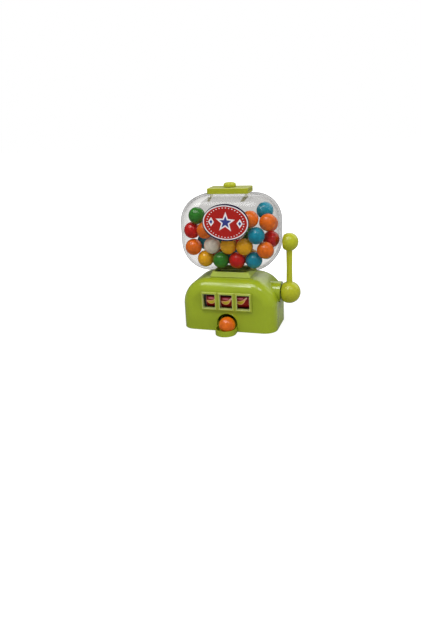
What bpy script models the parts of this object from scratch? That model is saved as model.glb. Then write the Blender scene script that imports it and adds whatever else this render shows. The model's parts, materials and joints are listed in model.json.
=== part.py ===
"""Countertop gum vending machine: clear globe, three fruit reels, pull lever and ball chute.

Metres, +Z up, +X to the lever's side, -Y to the front. The origin is the middle of the base's
underside. Every length is set by the named values below, and whatever meets, holds or passes
another piece is worked out from that piece's own values and a named clearance.
"""

import math

import bmesh
import bpy
import numpy as np
from mathutils import Matrix, Vector

MM = 0.001

# Clearances and cuts
GAP = 0.3 * MM
RUNNING = 0.35 * MM
OVERRUN = 4.0 * MM
WELD = 0.01 * MM

# Gumballs
BALL_DIAMETER = 14.5 * MM
BALL_ROOM = 0.45 * MM
PILE_SHARE = 4.531
PACK_STEPS = 1500
PACK_SINK_SHARE = 0.03
PACK_REST_SHARE = 0.6
PACK_EASE_SHARE = 0.8

# Base housing
BASE_WIDTH = 85.0 * MM
BASE_DEPTH = 48.7 * MM
BASE_HEIGHT = 45.7 * MM
BASE_SHOULDER = 24.2 * MM
BASE_EDGE = 11.0 * MM
BASE_WALL = 2.0 * MM

# Lever side boss
BOSS_RADIUS = 9.2 * MM
BOSS_END = 43.6 * MM
BOSS_WALL = 1.8 * MM

# Reel windows and their frame
WINDOW_WIDTH = 11.1 * MM
WINDOW_PITCH = 15.4 * MM
WINDOW_BELOW_TOP = 11.7 * MM
WINDOW_OVER_ARCH = 4.6 * MM
FRAME_SIDE = 1.9 * MM
FRAME_RISE = 1.1 * MM
RIM_WIDTH = 1.5 * MM
RIM_RISE = 0.6 * MM
FRAME_ROUND = 0.35 * MM
SPIGOT_WALL = 0.8 * MM

# Chute
ARCH_HALF = 9.4 * MM
ARCH_TOP = 16.5 * MM
CHUTE_FLOOR = 0.7 * MM
CHUTE_WALL = 0.7 * MM
TRAY_RIM = 5.0 * MM
TRAY_OUT = 5.35 * MM
BALL_LEAN = math.radians(75)
RAMP_SLOPE = math.radians(1.5)

# Bottom cover and screws
PLATE_THICK = 2.2 * MM
PLATE_SKIN = 0.5 * MM
POST_RADIUS = 3.2 * MM
POST_INSET_X = 9.0 * MM
POST_INSET_Y = 10.85 * MM
SCREW_SHANK = 1.0 * MM
SCREW_HEAD = 2.2 * MM
SCREW_HEAD_THICK = 0.9 * MM
SCREW_SUNK = 0.2 * MM
SCREW_LENGTH = 8.0 * MM
HEAD_TAPER_SHARE = 0.86

# Globe
GLOBE_WIDTH = 86.5 * MM
GLOBE_DEPTH = 41.0 * MM
GLOBE_HEIGHT = 65.7 * MM
GLOBE_LIFT = 0.65 * MM
GLOBE_TOP_ROUND = 23.4 * MM
GLOBE_LOW_ROUND = 25.5 * MM
GLOBE_EDGE = 11.0 * MM
GLOBE_EDGE_DEPTH = 16.0 * MM
GLOBE_WALL = 1.6 * MM
NECK_WIDTH = 29.0 * MM
NECK_DEPTH = 19.0 * MM
NECK_ROUND = 4.0 * MM
NECK_DROP = 3.8 * MM
FILL_WIDTH = 32.0 * MM
FILL_DEPTH = 14.9 * MM
FILL_ROUND = 3.0 * MM
FILL_SKIRT = 6.0 * MM
FILL_FLARE = 2.0 * MM
FILL_RIM = 0.35 * MM

# Globe seat on the base
SEAT_WIDTH = 37.0 * MM
SEAT_TOP_WIDTH = 32.4 * MM
SEAT_FRONT = 12.4 * MM
SEAT_BEHIND = 1.7 * MM
SEAT_SLOPE = 1.6 * MM
SEAT_RISE = 4.2 * MM
SEAT_ROUND = 2.0 * MM

# Lid
LID_HALF_WIDTH = 17.8 * MM
LID_HALF_DEPTH = 9.1 * MM
LID_THICK = 2.4 * MM
LID_SKIRT = 0.7 * MM
LID_ROUND = 0.9 * MM
LID_FRAME_THICK = 2.0 * MM
KNOB_RADIUS = 5.3 * MM
KNOB_HEIGHT = 3.8 * MM
KNOB_FLUTE = 0.55 * MM
KNOB_PEG = 1.5 * MM
DOME_BASE_SHARE = 0.5
FLUTES = 14
FLUTE_START_SHARE = 0.5
FLUTE_TOP_SHARE = 0.72

# Lever
LEVER_X = 50.5 * MM
LEVER_OVER_AXLE = 3.85 * MM
LEVER_LENGTH = 44.5 * MM
HUB_RADIUS = 9.6 * MM
HUB_FLAT = 6.3 * MM
LEVER_KNOB_RADIUS = 7.7 * MM
LEVER_KNOB_FLAT = 5.0 * MM
ARM_RADIUS = 2.7 * MM
ARM_WAIST = 2.45 * MM
SHAFT_RADIUS = 2.0 * MM
SHAFT_SOCKET = 7.0 * MM
BUSH_WALL = 1.4 * MM
BUSH_FLANGE = 1.6 * MM
BUSH_FLANGE_THICK = 1.0 * MM

# Reels, dispensing drum and their frame
AXLE_BELOW_TOP = 18.5 * MM
WALL_ROOM = 1.1 * MM
SHAFT_ROOM = 1.2 * MM
REEL_WIDTH = 12.9 * MM
REEL_RIM = 1.3 * MM
REEL_WEB = 1.4 * MM
REEL_HUB = 3.4 * MM
REEL_AXLE_RADIUS = 1.5 * MM
DRUM_RIM = 1.55 * MM
DRUM_FLANGE = 1.5 * MM
DRUM_JOURNAL = 2.0 * MM
SIDE_THICK = 2.0 * MM
SIDE_ROOM = 0.9 * MM
SIDE_BORDER = 2.6 * MM
SIDE_TAB = 5.0 * MM
CLIP_THICK = 0.8 * MM
CLIP_WIDTH = 1.4 * MM
AXLE_STICKOUT = 2.0 * MM

# Gears
LEVER_TEETH = 16
PINION_TEETH = 9
GEAR_THICK = 3.4 * MM
PRESSURE_ANGLE = math.radians(25.0)
ADDENDUM_SHARE = 0.78
DEDENDUM_SHARE = 1.06
BACKLASH_SHARE = 0.11

# Feed throat
THROAT_WALL = 1.2 * MM
THROAT_BORDER = 1.5 * MM
OUTLET_ROUND_SHARE = 0.8

# Return spring
SPRING_WIRE = 0.4 * MM
SPRING_ROOM = 0.6 * MM
SPRING_TURNS = 5
SPRING_LEG = 4.5 * MM

# Oval plate on the globe
OVAL_WIDTH = 40.3 * MM
OVAL_HEIGHT = 31.0 * MM
OVAL_THICK = 0.5 * MM
OVAL_X = 1.2 * MM
OVAL_BELOW_TOP = 21.15 * MM

# Fineness of the round forms
ROUND_STEPS = 24
FINE_STEPS = 36
SMALL_STEPS = 12
SCREW_STEPS = 8
CORNER_STEPS = 7
EDGE_STEPS = 4
LID_CORNER_STEPS = 2
DOME_STEPS = 6
FLUTE_SIDE_STEPS = 6
BOWL_STEPS = 8
FLANK_STEPS = 4
COIL_STEPS = 10
WALL_STEPS = 13
SMOOTH_ANGLE = math.radians(35)
BEVEL_ANGLE = math.radians(40)

# Places worked out from the sizes above
BALL_RADIUS = BALL_DIAMETER / 2
BALL_PITCH = BALL_DIAMETER + GAP / 2
INNER_FRONT = BASE_DEPTH / 2 - BASE_WALL
CEILING = BASE_HEIGHT - BASE_WALL
SEAT_TOP = BASE_HEIGHT + GAP + SEAT_RISE
GLOBE_BOTTOM = SEAT_TOP + GLOBE_LIFT
GLOBE_TOP = GLOBE_BOTTOM + GLOBE_HEIGHT
PILE_HEIGHT = min(GLOBE_HEIGHT, PILE_SHARE * BALL_DIAMETER)
OVAL_Z = GLOBE_TOP - OVAL_BELOW_TOP
PLATE_TOP = PLATE_THICK + GAP
POST_X = BASE_WIDTH / 2 - POST_INSET_X
POST_Y = BASE_DEPTH / 2 - POST_INSET_Y
WINDOW_LOW = ARCH_TOP + WINDOW_OVER_ARCH
WINDOW_HEIGHT = BASE_HEIGHT - WINDOW_BELOW_TOP - WINDOW_LOW
WINDOW_MIDDLE = WINDOW_LOW + WINDOW_HEIGHT / 2

# The reels and the drum lie at one distance from the lever's shaft, so that one gear drives both
REEL_Z = BASE_HEIGHT - AXLE_BELOW_TOP
LEVER_Z = REEL_Z + LEVER_OVER_AXLE
POCKET_RADIUS = BALL_RADIUS + BALL_ROOM
DRUM_RADIUS = POCKET_RADIUS + DRUM_RIM
WORKS_REACH = INNER_FRONT - WALL_ROOM
SHAFT_KEEP = SHAFT_RADIUS + SHAFT_ROOM
REEL_FIT = (WORKS_REACH ** 2 + LEVER_OVER_AXLE ** 2 - SHAFT_KEEP ** 2) / (2 * (WORKS_REACH + SHAFT_KEEP))
AXLE_DISTANCE = SHAFT_KEEP + max(REEL_FIT, DRUM_RADIUS)
REEL_Y = -math.sqrt(AXLE_DISTANCE ** 2 - LEVER_OVER_AXLE ** 2)
REEL_RADIUS = WORKS_REACH + REEL_Y
DRUM_Y = min(-REEL_Y, WORKS_REACH - DRUM_RADIUS)
DRUM_Z = LEVER_Z - math.sqrt(AXLE_DISTANCE ** 2 - DRUM_Y ** 2)
GEAR_MODULE = 2 * AXLE_DISTANCE / (LEVER_TEETH + PINION_TEETH)
DRUM_WIDTH = 2 * (POCKET_RADIUS + DRUM_FLANGE)
REEL_PITCH = REEL_WIDTH + GAP
REELS_HALF = 1.5 * REEL_PITCH
SIDE_INNER = max(REELS_HALF, DRUM_WIDTH / 2) + SIDE_ROOM
SIDE_OUTER = SIDE_INNER + SIDE_THICK
GEAR_X = SIDE_OUTER + SIDE_ROOM + GEAR_THICK / 2
AXLE_END = GEAR_X + GEAR_THICK / 2 + GAP

PARTS = "gum_vending_machine"
CUTTERS = "cutters"

# Clearing the scene
for old in list(bpy.data.objects):
    bpy.data.objects.remove(old, do_unlink=True)
for name in (PARTS, CUTTERS):
    bpy.context.scene.collection.children.link(bpy.data.collections.new(name))


def material(name, colour, roughness, metallic=0.0, alpha=1.0):
    made = bpy.data.materials.new(name)
    made.use_nodes = True
    shader = made.node_tree.nodes["Principled BSDF"]
    shader.inputs["Base Color"].default_value = (*colour, 1.0)
    shader.inputs["Roughness"].default_value = roughness
    shader.inputs["Metallic"].default_value = metallic
    shader.inputs["Alpha"].default_value = alpha
    made.diffuse_color = (*colour, alpha)
    return made


LIME = (0.36, 0.50, 0.04)
OLIVE_LIME = (0.45, 0.50, 0.03)
CLEAR = (0.90, 0.93, 0.93)
DARK_RED = (0.42, 0.01, 0.03)
STEEL = (0.62, 0.63, 0.65)
NATURAL = (0.82, 0.80, 0.74)
LABEL_RED = (0.62, 0.02, 0.03)
GUM_COLOURS = {
    "blue": (0.0, 0.30, 0.50),
    "green": (0.02, 0.28, 0.06),
    "red": (0.65, 0.02, 0.03),
    "orange": (0.85, 0.20, 0.01),
    "yellow": (0.85, 0.48, 0.01),
    "white": (0.78, 0.72, 0.68),
}


def on_y_z(point):
    """Axes for a piece drawn in Y and Z, whose thickness runs along X."""
    return Matrix.Translation(point) @ Matrix(((0, 0, 1, 0), (1, 0, 0, 0), (0, 1, 0, 0), (0, 0, 0, 1)))


def on_x_z(point):
    """Axes for a piece drawn in X and Z, whose thickness runs to the front."""
    return Matrix.Translation(point) @ Matrix.Rotation(math.pi / 2, 4, "X")


def on_x_y(point):
    return Matrix.Translation(point)


def place(name, mesh, matrix, look, collection=PARTS):
    piece = bpy.data.objects.new(name, mesh)
    bpy.data.collections[collection].objects.link(piece)
    piece.matrix_world = matrix
    if look:
        mesh.materials.append(look)
    else:
        piece.display_type = "WIRE"
        piece.hide_render = True
    return piece


def to_mesh(name, work):
    mesh = bpy.data.meshes.new(name)
    work.to_mesh(mesh)
    work.free()
    mesh.shade_smooth()
    mesh.set_sharp_from_angle(angle=SMOOTH_ANGLE)
    return mesh


def cutter(name, mesh, matrix):
    return place(name, mesh, matrix, None, CUTTERS)


def combine(piece, other, operation="DIFFERENCE"):
    step = piece.modifiers.new(other.name, "BOOLEAN")
    step.operation = operation
    step.object = other
    step.solver = "EXACT"


def bevel(piece, width):
    step = piece.modifiers.new("rounded_edges", "BEVEL")
    step.width = width
    step.segments = 2
    step.limit_method = "ANGLE"
    step.angle_limit = BEVEL_ANGLE


def arc(centre, radius, start, end, steps):
    turn = np.linspace(start, end, steps + 1)
    return [(centre[0] + radius * math.cos(a), centre[1] + radius * math.sin(a)) for a in turn]


def circle(centre, radius, steps=ROUND_STEPS):
    return arc(centre, radius, 0, 2 * math.pi, steps)[:-1]


def rounded_rectangle(low, high, radius, steps=CORNER_STEPS):
    quarter = math.pi / 2
    points = []
    corners = ((high[0], high[1]), (low[0], high[1]), (low[0], low[1]), (high[0], low[1]))
    for turn, (u, v) in enumerate(corners):
        inward = (-radius if u == high[0] else radius, -radius if v == high[1] else radius)
        centre = (u + inward[0], v + inward[1])
        points += arc(centre, radius, turn * quarter, (turn + 1) * quarter, steps)
    return points


def plate_mesh(name, outlines, thickness):
    """A flat outline with its holes, as thick as asked, centred on its own plane."""
    curve = bpy.data.curves.new(name, "CURVE")
    curve.dimensions = "2D"
    curve.fill_mode = "BOTH"
    curve.extrude = thickness / 2
    for outline in outlines:
        spline = curve.splines.new("POLY")
        spline.points.add(len(outline) - 1)
        for point, (u, v) in zip(spline.points, outline):
            point.co = (u, v, 0, 1)
        spline.use_cyclic_u = True
    guide = bpy.data.objects.new(name, curve)
    bpy.data.collections[CUTTERS].objects.link(guide)
    graph = bpy.context.evaluated_depsgraph_get()
    mesh = bpy.data.meshes.new_from_object(guide.evaluated_get(graph))
    bpy.data.objects.remove(guide, do_unlink=True)
    bpy.data.curves.remove(curve)
    work = bmesh.new()
    work.from_mesh(mesh)
    bpy.data.meshes.remove(mesh)
    bmesh.ops.remove_doubles(work, verts=work.verts, dist=WELD)
    bmesh.ops.recalc_face_normals(work, faces=work.faces)
    return to_mesh(name, work)


def box_mesh(name, low, high):
    work = bmesh.new()
    bmesh.ops.create_cube(work, size=1)
    size = Vector(high) - Vector(low)
    middle = (Vector(high) + Vector(low)) / 2
    bmesh.ops.scale(work, vec=size, verts=work.verts)
    bmesh.ops.translate(work, vec=middle, verts=work.verts)
    return to_mesh(name, work)


def rod_mesh(name, radius, low, high, sides=ROUND_STEPS):
    """A round bar along X from low to high."""
    work = bmesh.new()
    upright = Matrix.Translation(((low + high) / 2, 0, 0)) @ Matrix.Rotation(math.pi / 2, 4, "Y")
    bmesh.ops.create_cone(
        work, cap_ends=True, segments=sides, radius1=radius, radius2=radius, depth=high - low, matrix=upright
    )
    return to_mesh(name, work)


def turned(name, profile, matrix, look, steps=ROUND_STEPS, collection=PARTS):
    """A turned piece. Its profile is (radius, height), down the outer side first; axis is local Z."""
    mesh = bpy.data.meshes.new(name)
    closed = min(radius for radius, _ in profile) > 0
    last = len(profile)
    edges = [(n, (n + 1) % last) for n in range(last if closed else last - 1)]
    mesh.from_pydata([(radius, 0, height) for radius, height in profile], edges, [])
    piece = place(name, mesh, matrix, look, collection)
    screw = piece.modifiers.new("turned", "SCREW")
    screw.axis = "Z"
    screw.steps = steps
    screw.render_steps = steps
    screw.use_merge_vertices = True
    screw.merge_threshold = WELD
    screw.use_smooth_shade = True
    return piece


def along_x(point):
    """Axes whose Z runs along X, for a piece that turns on the lever's or a reel's axis."""
    return Matrix.Translation(point) @ Matrix.Rotation(math.pi / 2, 4, "Y")


def round_selected(work, picked, width, segments):
    edges = [edge for edge in work.edges if picked(*edge.verts)]
    bmesh.ops.bevel(
        work, geom=edges, offset=width, offset_type="OFFSET", segments=segments,
        profile=0.5, affect="EDGES", clamp_overlap=False,
    )


def tapered_slab(name, low_rect, high_rect, low_z, high_z, corner, steps=CORNER_STEPS):
    """A slab with rounded upright edges. Each rectangle is (x0, y0, x1, y1)."""
    work = bmesh.new()
    bmesh.ops.create_cube(work, size=1)
    for vert in work.verts:
        x0, y0, x1, y1 = high_rect if vert.co.z > 0 else low_rect
        z = high_z if vert.co.z > 0 else low_z
        vert.co = (x1 if vert.co.x > 0 else x0, y1 if vert.co.y > 0 else y0, z)
    round_selected(work, lambda a, b: abs(a.co.z - b.co.z) > WELD, corner, steps)
    return to_mesh(name, work)


def centred(width, depth):
    return (-width / 2, -depth / 2, width / 2, depth / 2)


def shouldered_block(name, inset, low):
    """The base's outer form, or the form that lies inset within it, from a low height up."""
    half_x = BASE_WIDTH / 2 - inset
    half_y = BASE_DEPTH / 2 - inset
    high = BASE_HEIGHT - inset
    shoulder = BASE_SHOULDER - inset
    edge = BASE_EDGE - inset
    work = bmesh.new()
    bmesh.ops.create_cube(work, size=2)
    for vert in work.verts:
        z = high if vert.co.z > 0 else low
        vert.co = (half_x * vert.co.x, half_y * vert.co.y, z)
    round_selected(
        work, lambda a, b: a.co.z > high - WELD and b.co.z > high - WELD and abs(a.co.y - b.co.y) > WELD,
        shoulder, CORNER_STEPS,
    )
    round_selected(
        work,
        lambda a, b: abs(a.co.y - b.co.y) < WELD and max(a.co.z, b.co.z) > low + WELD,
        edge, EDGE_STEPS,
    )
    return to_mesh(name, work)


def ceiling_at(x, y):
    """Height of the base's inner ceiling over a place, within its rounded front and back."""
    edge = BASE_EDGE - BASE_WALL
    shoulder = BASE_SHOULDER - BASE_WALL
    past_y = max(0.0, abs(y) - (INNER_FRONT - edge))
    inset = edge - math.sqrt(max(0.0, edge ** 2 - past_y ** 2))
    past_x = max(0.0, abs(x) - (BASE_WIDTH / 2 - BASE_WALL - shoulder))
    reach = shoulder - inset
    return CEILING - shoulder + math.sqrt(max(0.0, reach ** 2 - past_x ** 2))


def screw_places():
    return [(x, y) for x in (-POST_X, POST_X) for y in (-POST_Y, POST_Y)]


def make_base(look):
    outer = place("base_housing", shouldered_block("base_housing", 0.0, 0.0), Matrix(), look)
    on_axis = Matrix.Translation((0, 0, LEVER_Z))
    boss = rod_mesh("boss_form", BOSS_RADIUS, 0.0, BOSS_END, FINE_STEPS)
    combine(outer, cutter("boss_form", boss, on_axis), "UNION")
    hollow = cutter("base_hollow", shouldered_block("base_hollow", BASE_WALL, -OVERRUN), Matrix())
    combine(outer, hollow)
    boss_hollow = rod_mesh("boss_hollow", BOSS_RADIUS - BOSS_WALL, SIDE_OUTER, BOSS_END - BOSS_WALL)
    combine(outer, cutter("boss_hollow", boss_hollow, on_axis))
    bush_hole = rod_mesh("bush_hole", bush_radius() + GAP, SIDE_OUTER, BOSS_END + OVERRUN, ROUND_STEPS)
    combine(outer, cutter("bush_hole", bush_hole, on_axis))

    spigot = spigot_half()
    window_hole = box_mesh(
        "window_hole",
        (-spigot[0] - GAP, -BASE_DEPTH / 2 - OVERRUN, WINDOW_MIDDLE - spigot[1] - GAP),
        (spigot[0] + GAP, -INNER_FRONT + OVERRUN, WINDOW_MIDDLE + spigot[1] + GAP),
    )
    combine(outer, cutter("window_hole", window_hole, Matrix()))

    arch = arc((0, ARCH_TOP - ARCH_HALF), ARCH_HALF, 0, math.pi, ROUND_STEPS // 2)
    arch = arch + [(-ARCH_HALF, -OVERRUN), (ARCH_HALF, -OVERRUN)]
    arch_hole = plate_mesh("arch_hole", [arch], BASE_WALL + 2 * OVERRUN)
    combine(outer, cutter("arch_hole", arch_hole, on_x_z((0, -BASE_DEPTH / 2 + BASE_WALL / 2, 0))))

    throat = throat_rectangle(0.0)
    throat_hole = tapered_slab(
        "ceiling_hole", throat, throat, CEILING - OVERRUN, BASE_HEIGHT + OVERRUN, NECK_ROUND
    )
    combine(outer, cutter("ceiling_hole", throat_hole, Matrix()))

    post_limit = cutter("post_limit", shouldered_block("post_limit", BASE_WALL / 2, -OVERRUN), Matrix())
    for number, (x, y) in enumerate(screw_places()):
        post = tube_post(number, BASE_HEIGHT)
        post.matrix_world = Matrix.Translation((x, y, 0))
        combine(post, post_limit, "INTERSECT")
        combine(outer, post, "UNION")
        bore = upright_rod("post_bore_%d" % number, SCREW_SHANK + GAP, 0.0, PLATE_TOP + SCREW_LENGTH)
        bore.matrix_world = Matrix.Translation((x, y, 0))
        combine(outer, bore)


def upright_rod(name, radius, low, high, sides=SMALL_STEPS):
    work = bmesh.new()
    bmesh.ops.create_cone(
        work, cap_ends=True, segments=sides, radius1=radius, radius2=radius, depth=high - low,
        matrix=Matrix.Translation((0, 0, (low + high) / 2)),
    )
    return cutter(name, to_mesh(name, work), Matrix())


def tube_post(number, high):
    return upright_rod("post_form_%d" % number, POST_RADIUS, PLATE_TOP, high)


def bush_radius():
    return SHAFT_RADIUS + RUNNING + BUSH_WALL


def spigot_half():
    half_x = WINDOW_PITCH + WINDOW_WIDTH / 2 + SPIGOT_WALL
    half_z = WINDOW_HEIGHT / 2 + SPIGOT_WALL
    return half_x, half_z


def throat_rectangle(border):
    """Opening under the globe's neck that lets a ball roll back into the drum's pocket."""
    half = NECK_WIDTH / 2 - GLOBE_WALL
    lip_y = DRUM_Y - POCKET_RADIUS
    lip_z = DRUM_Z + math.sqrt(DRUM_RADIUS ** 2 - POCKET_RADIUS ** 2)
    rise = CEILING - lip_z
    back = lip_y + math.sqrt(max(0.0, BALL_PITCH ** 2 - rise ** 2)) + BALL_ROOM
    front = -NECK_DEPTH / 2 + GLOBE_WALL
    return (-half - border, front - border, half + border, back + border)


def make_bottom(look):
    half_x = BASE_WIDTH / 2 - BASE_WALL - GAP
    half_y = INNER_FRONT - GAP
    corner = BASE_EDGE - BASE_WALL - GAP
    sheet = rounded_rectangle((-half_x, -half_y), (half_x, half_y), corner)
    cover_mesh = plate_mesh("bottom_cover", [sheet], PLATE_THICK)
    cover = place("bottom_cover", cover_mesh, on_x_y((0, 0, PLATE_THICK / 2)), look)
    bed = box_mesh(
        "chute_bed", (-tray_reach() - GAP, -half_y - OVERRUN, PLATE_SKIN),
        (tray_reach() + GAP, ramp_back() + GAP, PLATE_THICK + OVERRUN),
    )
    combine(cover, cutter("chute_bed", bed, Matrix()))
    head_seat = SCREW_SUNK + SCREW_HEAD_THICK + GAP
    for number, (x, y) in enumerate(screw_places()):
        hole_top = PLATE_THICK + OVERRUN
        hole = upright_rod("cover_hole_%d" % number, SCREW_SHANK + GAP, -OVERRUN, hole_top, SCREW_STEPS)
        seat = upright_rod("head_seat_%d" % number, SCREW_HEAD + GAP, -OVERRUN, head_seat, SCREW_STEPS)
        for bore in (hole, seat):
            bore.matrix_world = Matrix.Translation((x, y, 0))
            combine(cover, bore)


def make_screws(look):
    low = SCREW_SUNK
    neck = SCREW_SUNK + SCREW_HEAD_THICK
    top = SCREW_SUNK + SCREW_LENGTH
    profile = [
        (0.0, top), (SCREW_SHANK, top - SCREW_SHANK), (SCREW_SHANK, neck), (SCREW_HEAD, neck),
        (SCREW_HEAD * HEAD_TAPER_SHARE, low), (0.0, low),
    ]
    for number, (x, y) in enumerate(screw_places()):
        turned("screw_%d" % (number + 1), profile, Matrix.Translation((x, y, 0)), look, SCREW_STEPS)


def ramp_back():
    return DRUM_Y + POCKET_RADIUS


def ramp_under(y):
    """Height of the ramp's underside at a distance back."""
    return PLATE_SKIN + GAP + (y + INNER_FRONT) * math.tan(RAMP_SLOPE)


def tray_middle():
    return -BASE_DEPTH / 2 - TRAY_OUT


def tray_reach():
    return ARCH_HALF - GAP


def make_chute(look):
    """A sloped channel under the drum and the reels that ends in a small round tray."""
    side = tray_reach()
    inner = side - CHUTE_WALL
    wall_top = BALL_RADIUS
    channel = [
        (-side, 0.0), (side, 0.0), (side, wall_top), (inner, wall_top),
        (inner, CHUTE_WALL), (-inner, CHUTE_WALL), (-inner, wall_top), (-side, wall_top),
    ]
    front = -INNER_FRONT - CHUTE_WALL
    length = (ramp_back() - front) / math.cos(RAMP_SLOPE)
    ramp = plate_mesh("chute", [channel], length)
    sloped = Matrix.Translation((0, front, ramp_under(front))) @ Matrix.Rotation(RAMP_SLOPE, 4, "X")
    chute = place("chute", ramp, sloped @ on_x_z((0, length / 2, 0)), look)

    middle = tray_middle()
    rim = arc((0, middle), side, math.pi, 2 * math.pi, ROUND_STEPS // 2)
    tray = plate_mesh("tray_form", [rim + [(side, -INNER_FRONT), (-side, -INNER_FRONT)]], TRAY_RIM)
    combine(chute, cutter("tray_form", tray, on_x_y((0, 0, TRAY_RIM / 2))), "UNION")
    inside = arc((0, middle), inner, math.pi, 2 * math.pi, ROUND_STEPS // 2)
    hollow = plate_mesh("tray_hollow", [inside + [(inner, front), (-inner, front)]], TRAY_RIM)
    combine(chute, cutter("tray_hollow", hollow, on_x_y((0, 0, TRAY_RIM / 2 + CHUTE_FLOOR))))


def make_window_frame(look):
    half_x = WINDOW_PITCH + WINDOW_WIDTH / 2 + FRAME_SIDE
    half_z = WINDOW_HEIGHT / 2 + FRAME_SIDE
    face_y = -BASE_DEPTH / 2 - GAP
    spigot = spigot_half()
    frame = place(
        "window_frame",
        box_mesh(
            "window_frame", (-half_x, face_y - FRAME_RISE, WINDOW_MIDDLE - half_z),
            (half_x, face_y, WINDOW_MIDDLE + half_z),
        ),
        Matrix(), look,
    )
    bevel(frame, FRAME_ROUND)
    tongue = box_mesh(
        "frame_spigot", (-spigot[0], face_y - FRAME_RISE / 2, WINDOW_MIDDLE - spigot[1]),
        (spigot[0], -INNER_FRONT, WINDOW_MIDDLE + spigot[1]),
    )
    combine(frame, cutter("frame_spigot", tongue, Matrix()), "UNION")
    for number in (-1, 0, 1):
        x = number * WINDOW_PITCH
        rim_x = WINDOW_WIDTH / 2 + RIM_WIDTH
        rim_z = WINDOW_HEIGHT / 2 + RIM_WIDTH
        rim = cutter(
            "window_rim_%d" % (number + 1),
            box_mesh(
                "window_rim", (x - rim_x, face_y - FRAME_RISE - RIM_RISE, WINDOW_MIDDLE - rim_z),
                (x + rim_x, face_y - FRAME_RISE / 2, WINDOW_MIDDLE + rim_z),
            ),
            Matrix(),
        )
        bevel(rim, FRAME_ROUND)
        combine(frame, rim, "UNION")
        window = box_mesh(
            "window", (x - WINDOW_WIDTH / 2, -BASE_DEPTH / 2 - OVERRUN, WINDOW_MIDDLE - WINDOW_HEIGHT / 2),
            (x + WINDOW_WIDTH / 2, -INNER_FRONT + OVERRUN, WINDOW_MIDDLE + WINDOW_HEIGHT / 2),
        )
        combine(frame, cutter("window_%d" % (number + 1), window, Matrix()))
    inner = (spigot[0] - SPIGOT_WALL, spigot[1] - SPIGOT_WALL)
    room = box_mesh(
        "frame_room", (-inner[0], face_y, WINDOW_MIDDLE - inner[1]),
        (inner[0], -INNER_FRONT + OVERRUN, WINDOW_MIDDLE + inner[1]),
    )
    combine(frame, cutter("frame_room", room, Matrix()))


def make_seat(look):
    """The raised seat that holds the globe's neck, open below for the balls."""
    half = SEAT_WIDTH / 2
    top_half = SEAT_TOP_WIDTH / 2
    opening = throat_rectangle(0.0)
    back = opening[3] + SEAT_BEHIND
    low = (-half, -SEAT_FRONT, half, back)
    high = (-top_half, -SEAT_FRONT + SEAT_SLOPE, top_half, back - SEAT_SLOPE)
    low_z = BASE_HEIGHT + GAP
    block = tapered_slab("globe_seat", low, high, low_z, SEAT_TOP, SEAT_ROUND)
    seat = place("globe_seat", block, Matrix(), look)
    neck = centred(NECK_WIDTH + 2 * GAP, NECK_DEPTH + 2 * GAP)
    recess = tapered_slab(
        "neck_recess", neck, neck, GLOBE_BOTTOM - NECK_DROP - GAP, SEAT_TOP + OVERRUN, NECK_ROUND + GAP
    )
    combine(seat, cutter("neck_recess", recess, Matrix()))
    throat = tapered_slab(
        "seat_throat", opening, opening, low_z - OVERRUN, GLOBE_BOTTOM - NECK_DROP, NECK_ROUND
    )
    combine(seat, cutter("seat_throat", throat, Matrix()))


def make_globe(look):
    shrink = GLOBE_EDGE / GLOBE_EDGE_DEPTH
    half = (GLOBE_WIDTH / 2, GLOBE_DEPTH / 2 * shrink)
    work = bmesh.new()
    bmesh.ops.create_cube(work, size=2)
    for vert in work.verts:
        z = GLOBE_TOP if vert.co.z > 0 else GLOBE_BOTTOM
        vert.co = (half[0] * vert.co.x, half[1] * vert.co.y, z)
    for edge_z, radius in ((GLOBE_TOP, GLOBE_TOP_ROUND), (GLOBE_BOTTOM, GLOBE_LOW_ROUND)):
        round_selected(
            work,
            lambda a, b: abs(a.co.z - edge_z) < WELD and abs(b.co.z - edge_z) < WELD
            and abs(abs(a.co.x) - half[0]) < WELD and abs(a.co.y - b.co.y) > WELD,
            radius, CORNER_STEPS,
        )
    round_selected(work, lambda a, b: abs(a.co.y - b.co.y) < WELD, GLOBE_EDGE, EDGE_STEPS + 1)
    bmesh.ops.scale(work, vec=(1, 1 / shrink, 1), verts=work.verts)
    globe = place("globe", to_mesh("globe", work), Matrix(), look)
    shell = globe.modifiers.new("wall", "SOLIDIFY")
    shell.thickness = GLOBE_WALL
    shell.offset = -1
    shell.use_even_offset = True

    neck = centred(NECK_WIDTH, NECK_DEPTH)
    low = GLOBE_BOTTOM - NECK_DROP
    outer = tapered_slab("neck_form", neck, neck, low, GLOBE_BOTTOM + GLOBE_WALL, NECK_ROUND)
    combine(globe, cutter("neck_form", outer, Matrix()), "UNION")
    bore = centred(NECK_WIDTH - 2 * GLOBE_WALL, NECK_DEPTH - 2 * GLOBE_WALL)
    bore_round = NECK_ROUND - GLOBE_WALL
    inner = tapered_slab("neck_bore", bore, bore, low - OVERRUN, GLOBE_BOTTOM + OVERRUN, bore_round)
    combine(globe, cutter("neck_bore", inner, Matrix()))

    top = GLOBE_TOP + FILL_RIM
    mouth = centred(FILL_WIDTH + 2 * GLOBE_WALL, FILL_DEPTH + 2 * GLOBE_WALL)
    flared = centred(
        FILL_WIDTH + 2 * GLOBE_WALL + FILL_FLARE, FILL_DEPTH + 2 * GLOBE_WALL + FILL_FLARE
    )
    skirt = tapered_slab("fill_skirt", flared, mouth, top - FILL_SKIRT, top, FILL_ROUND + GLOBE_WALL)
    combine(globe, cutter("fill_skirt", skirt, Matrix()), "UNION")
    hole = centred(FILL_WIDTH, FILL_DEPTH)
    wide = centred(FILL_WIDTH + FILL_FLARE, FILL_DEPTH + FILL_FLARE)
    opening = tapered_slab("fill_hole", wide, hole, top - FILL_SKIRT - WELD, top + WELD, FILL_ROUND)
    combine(globe, cutter("fill_hole", opening, Matrix()))


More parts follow.
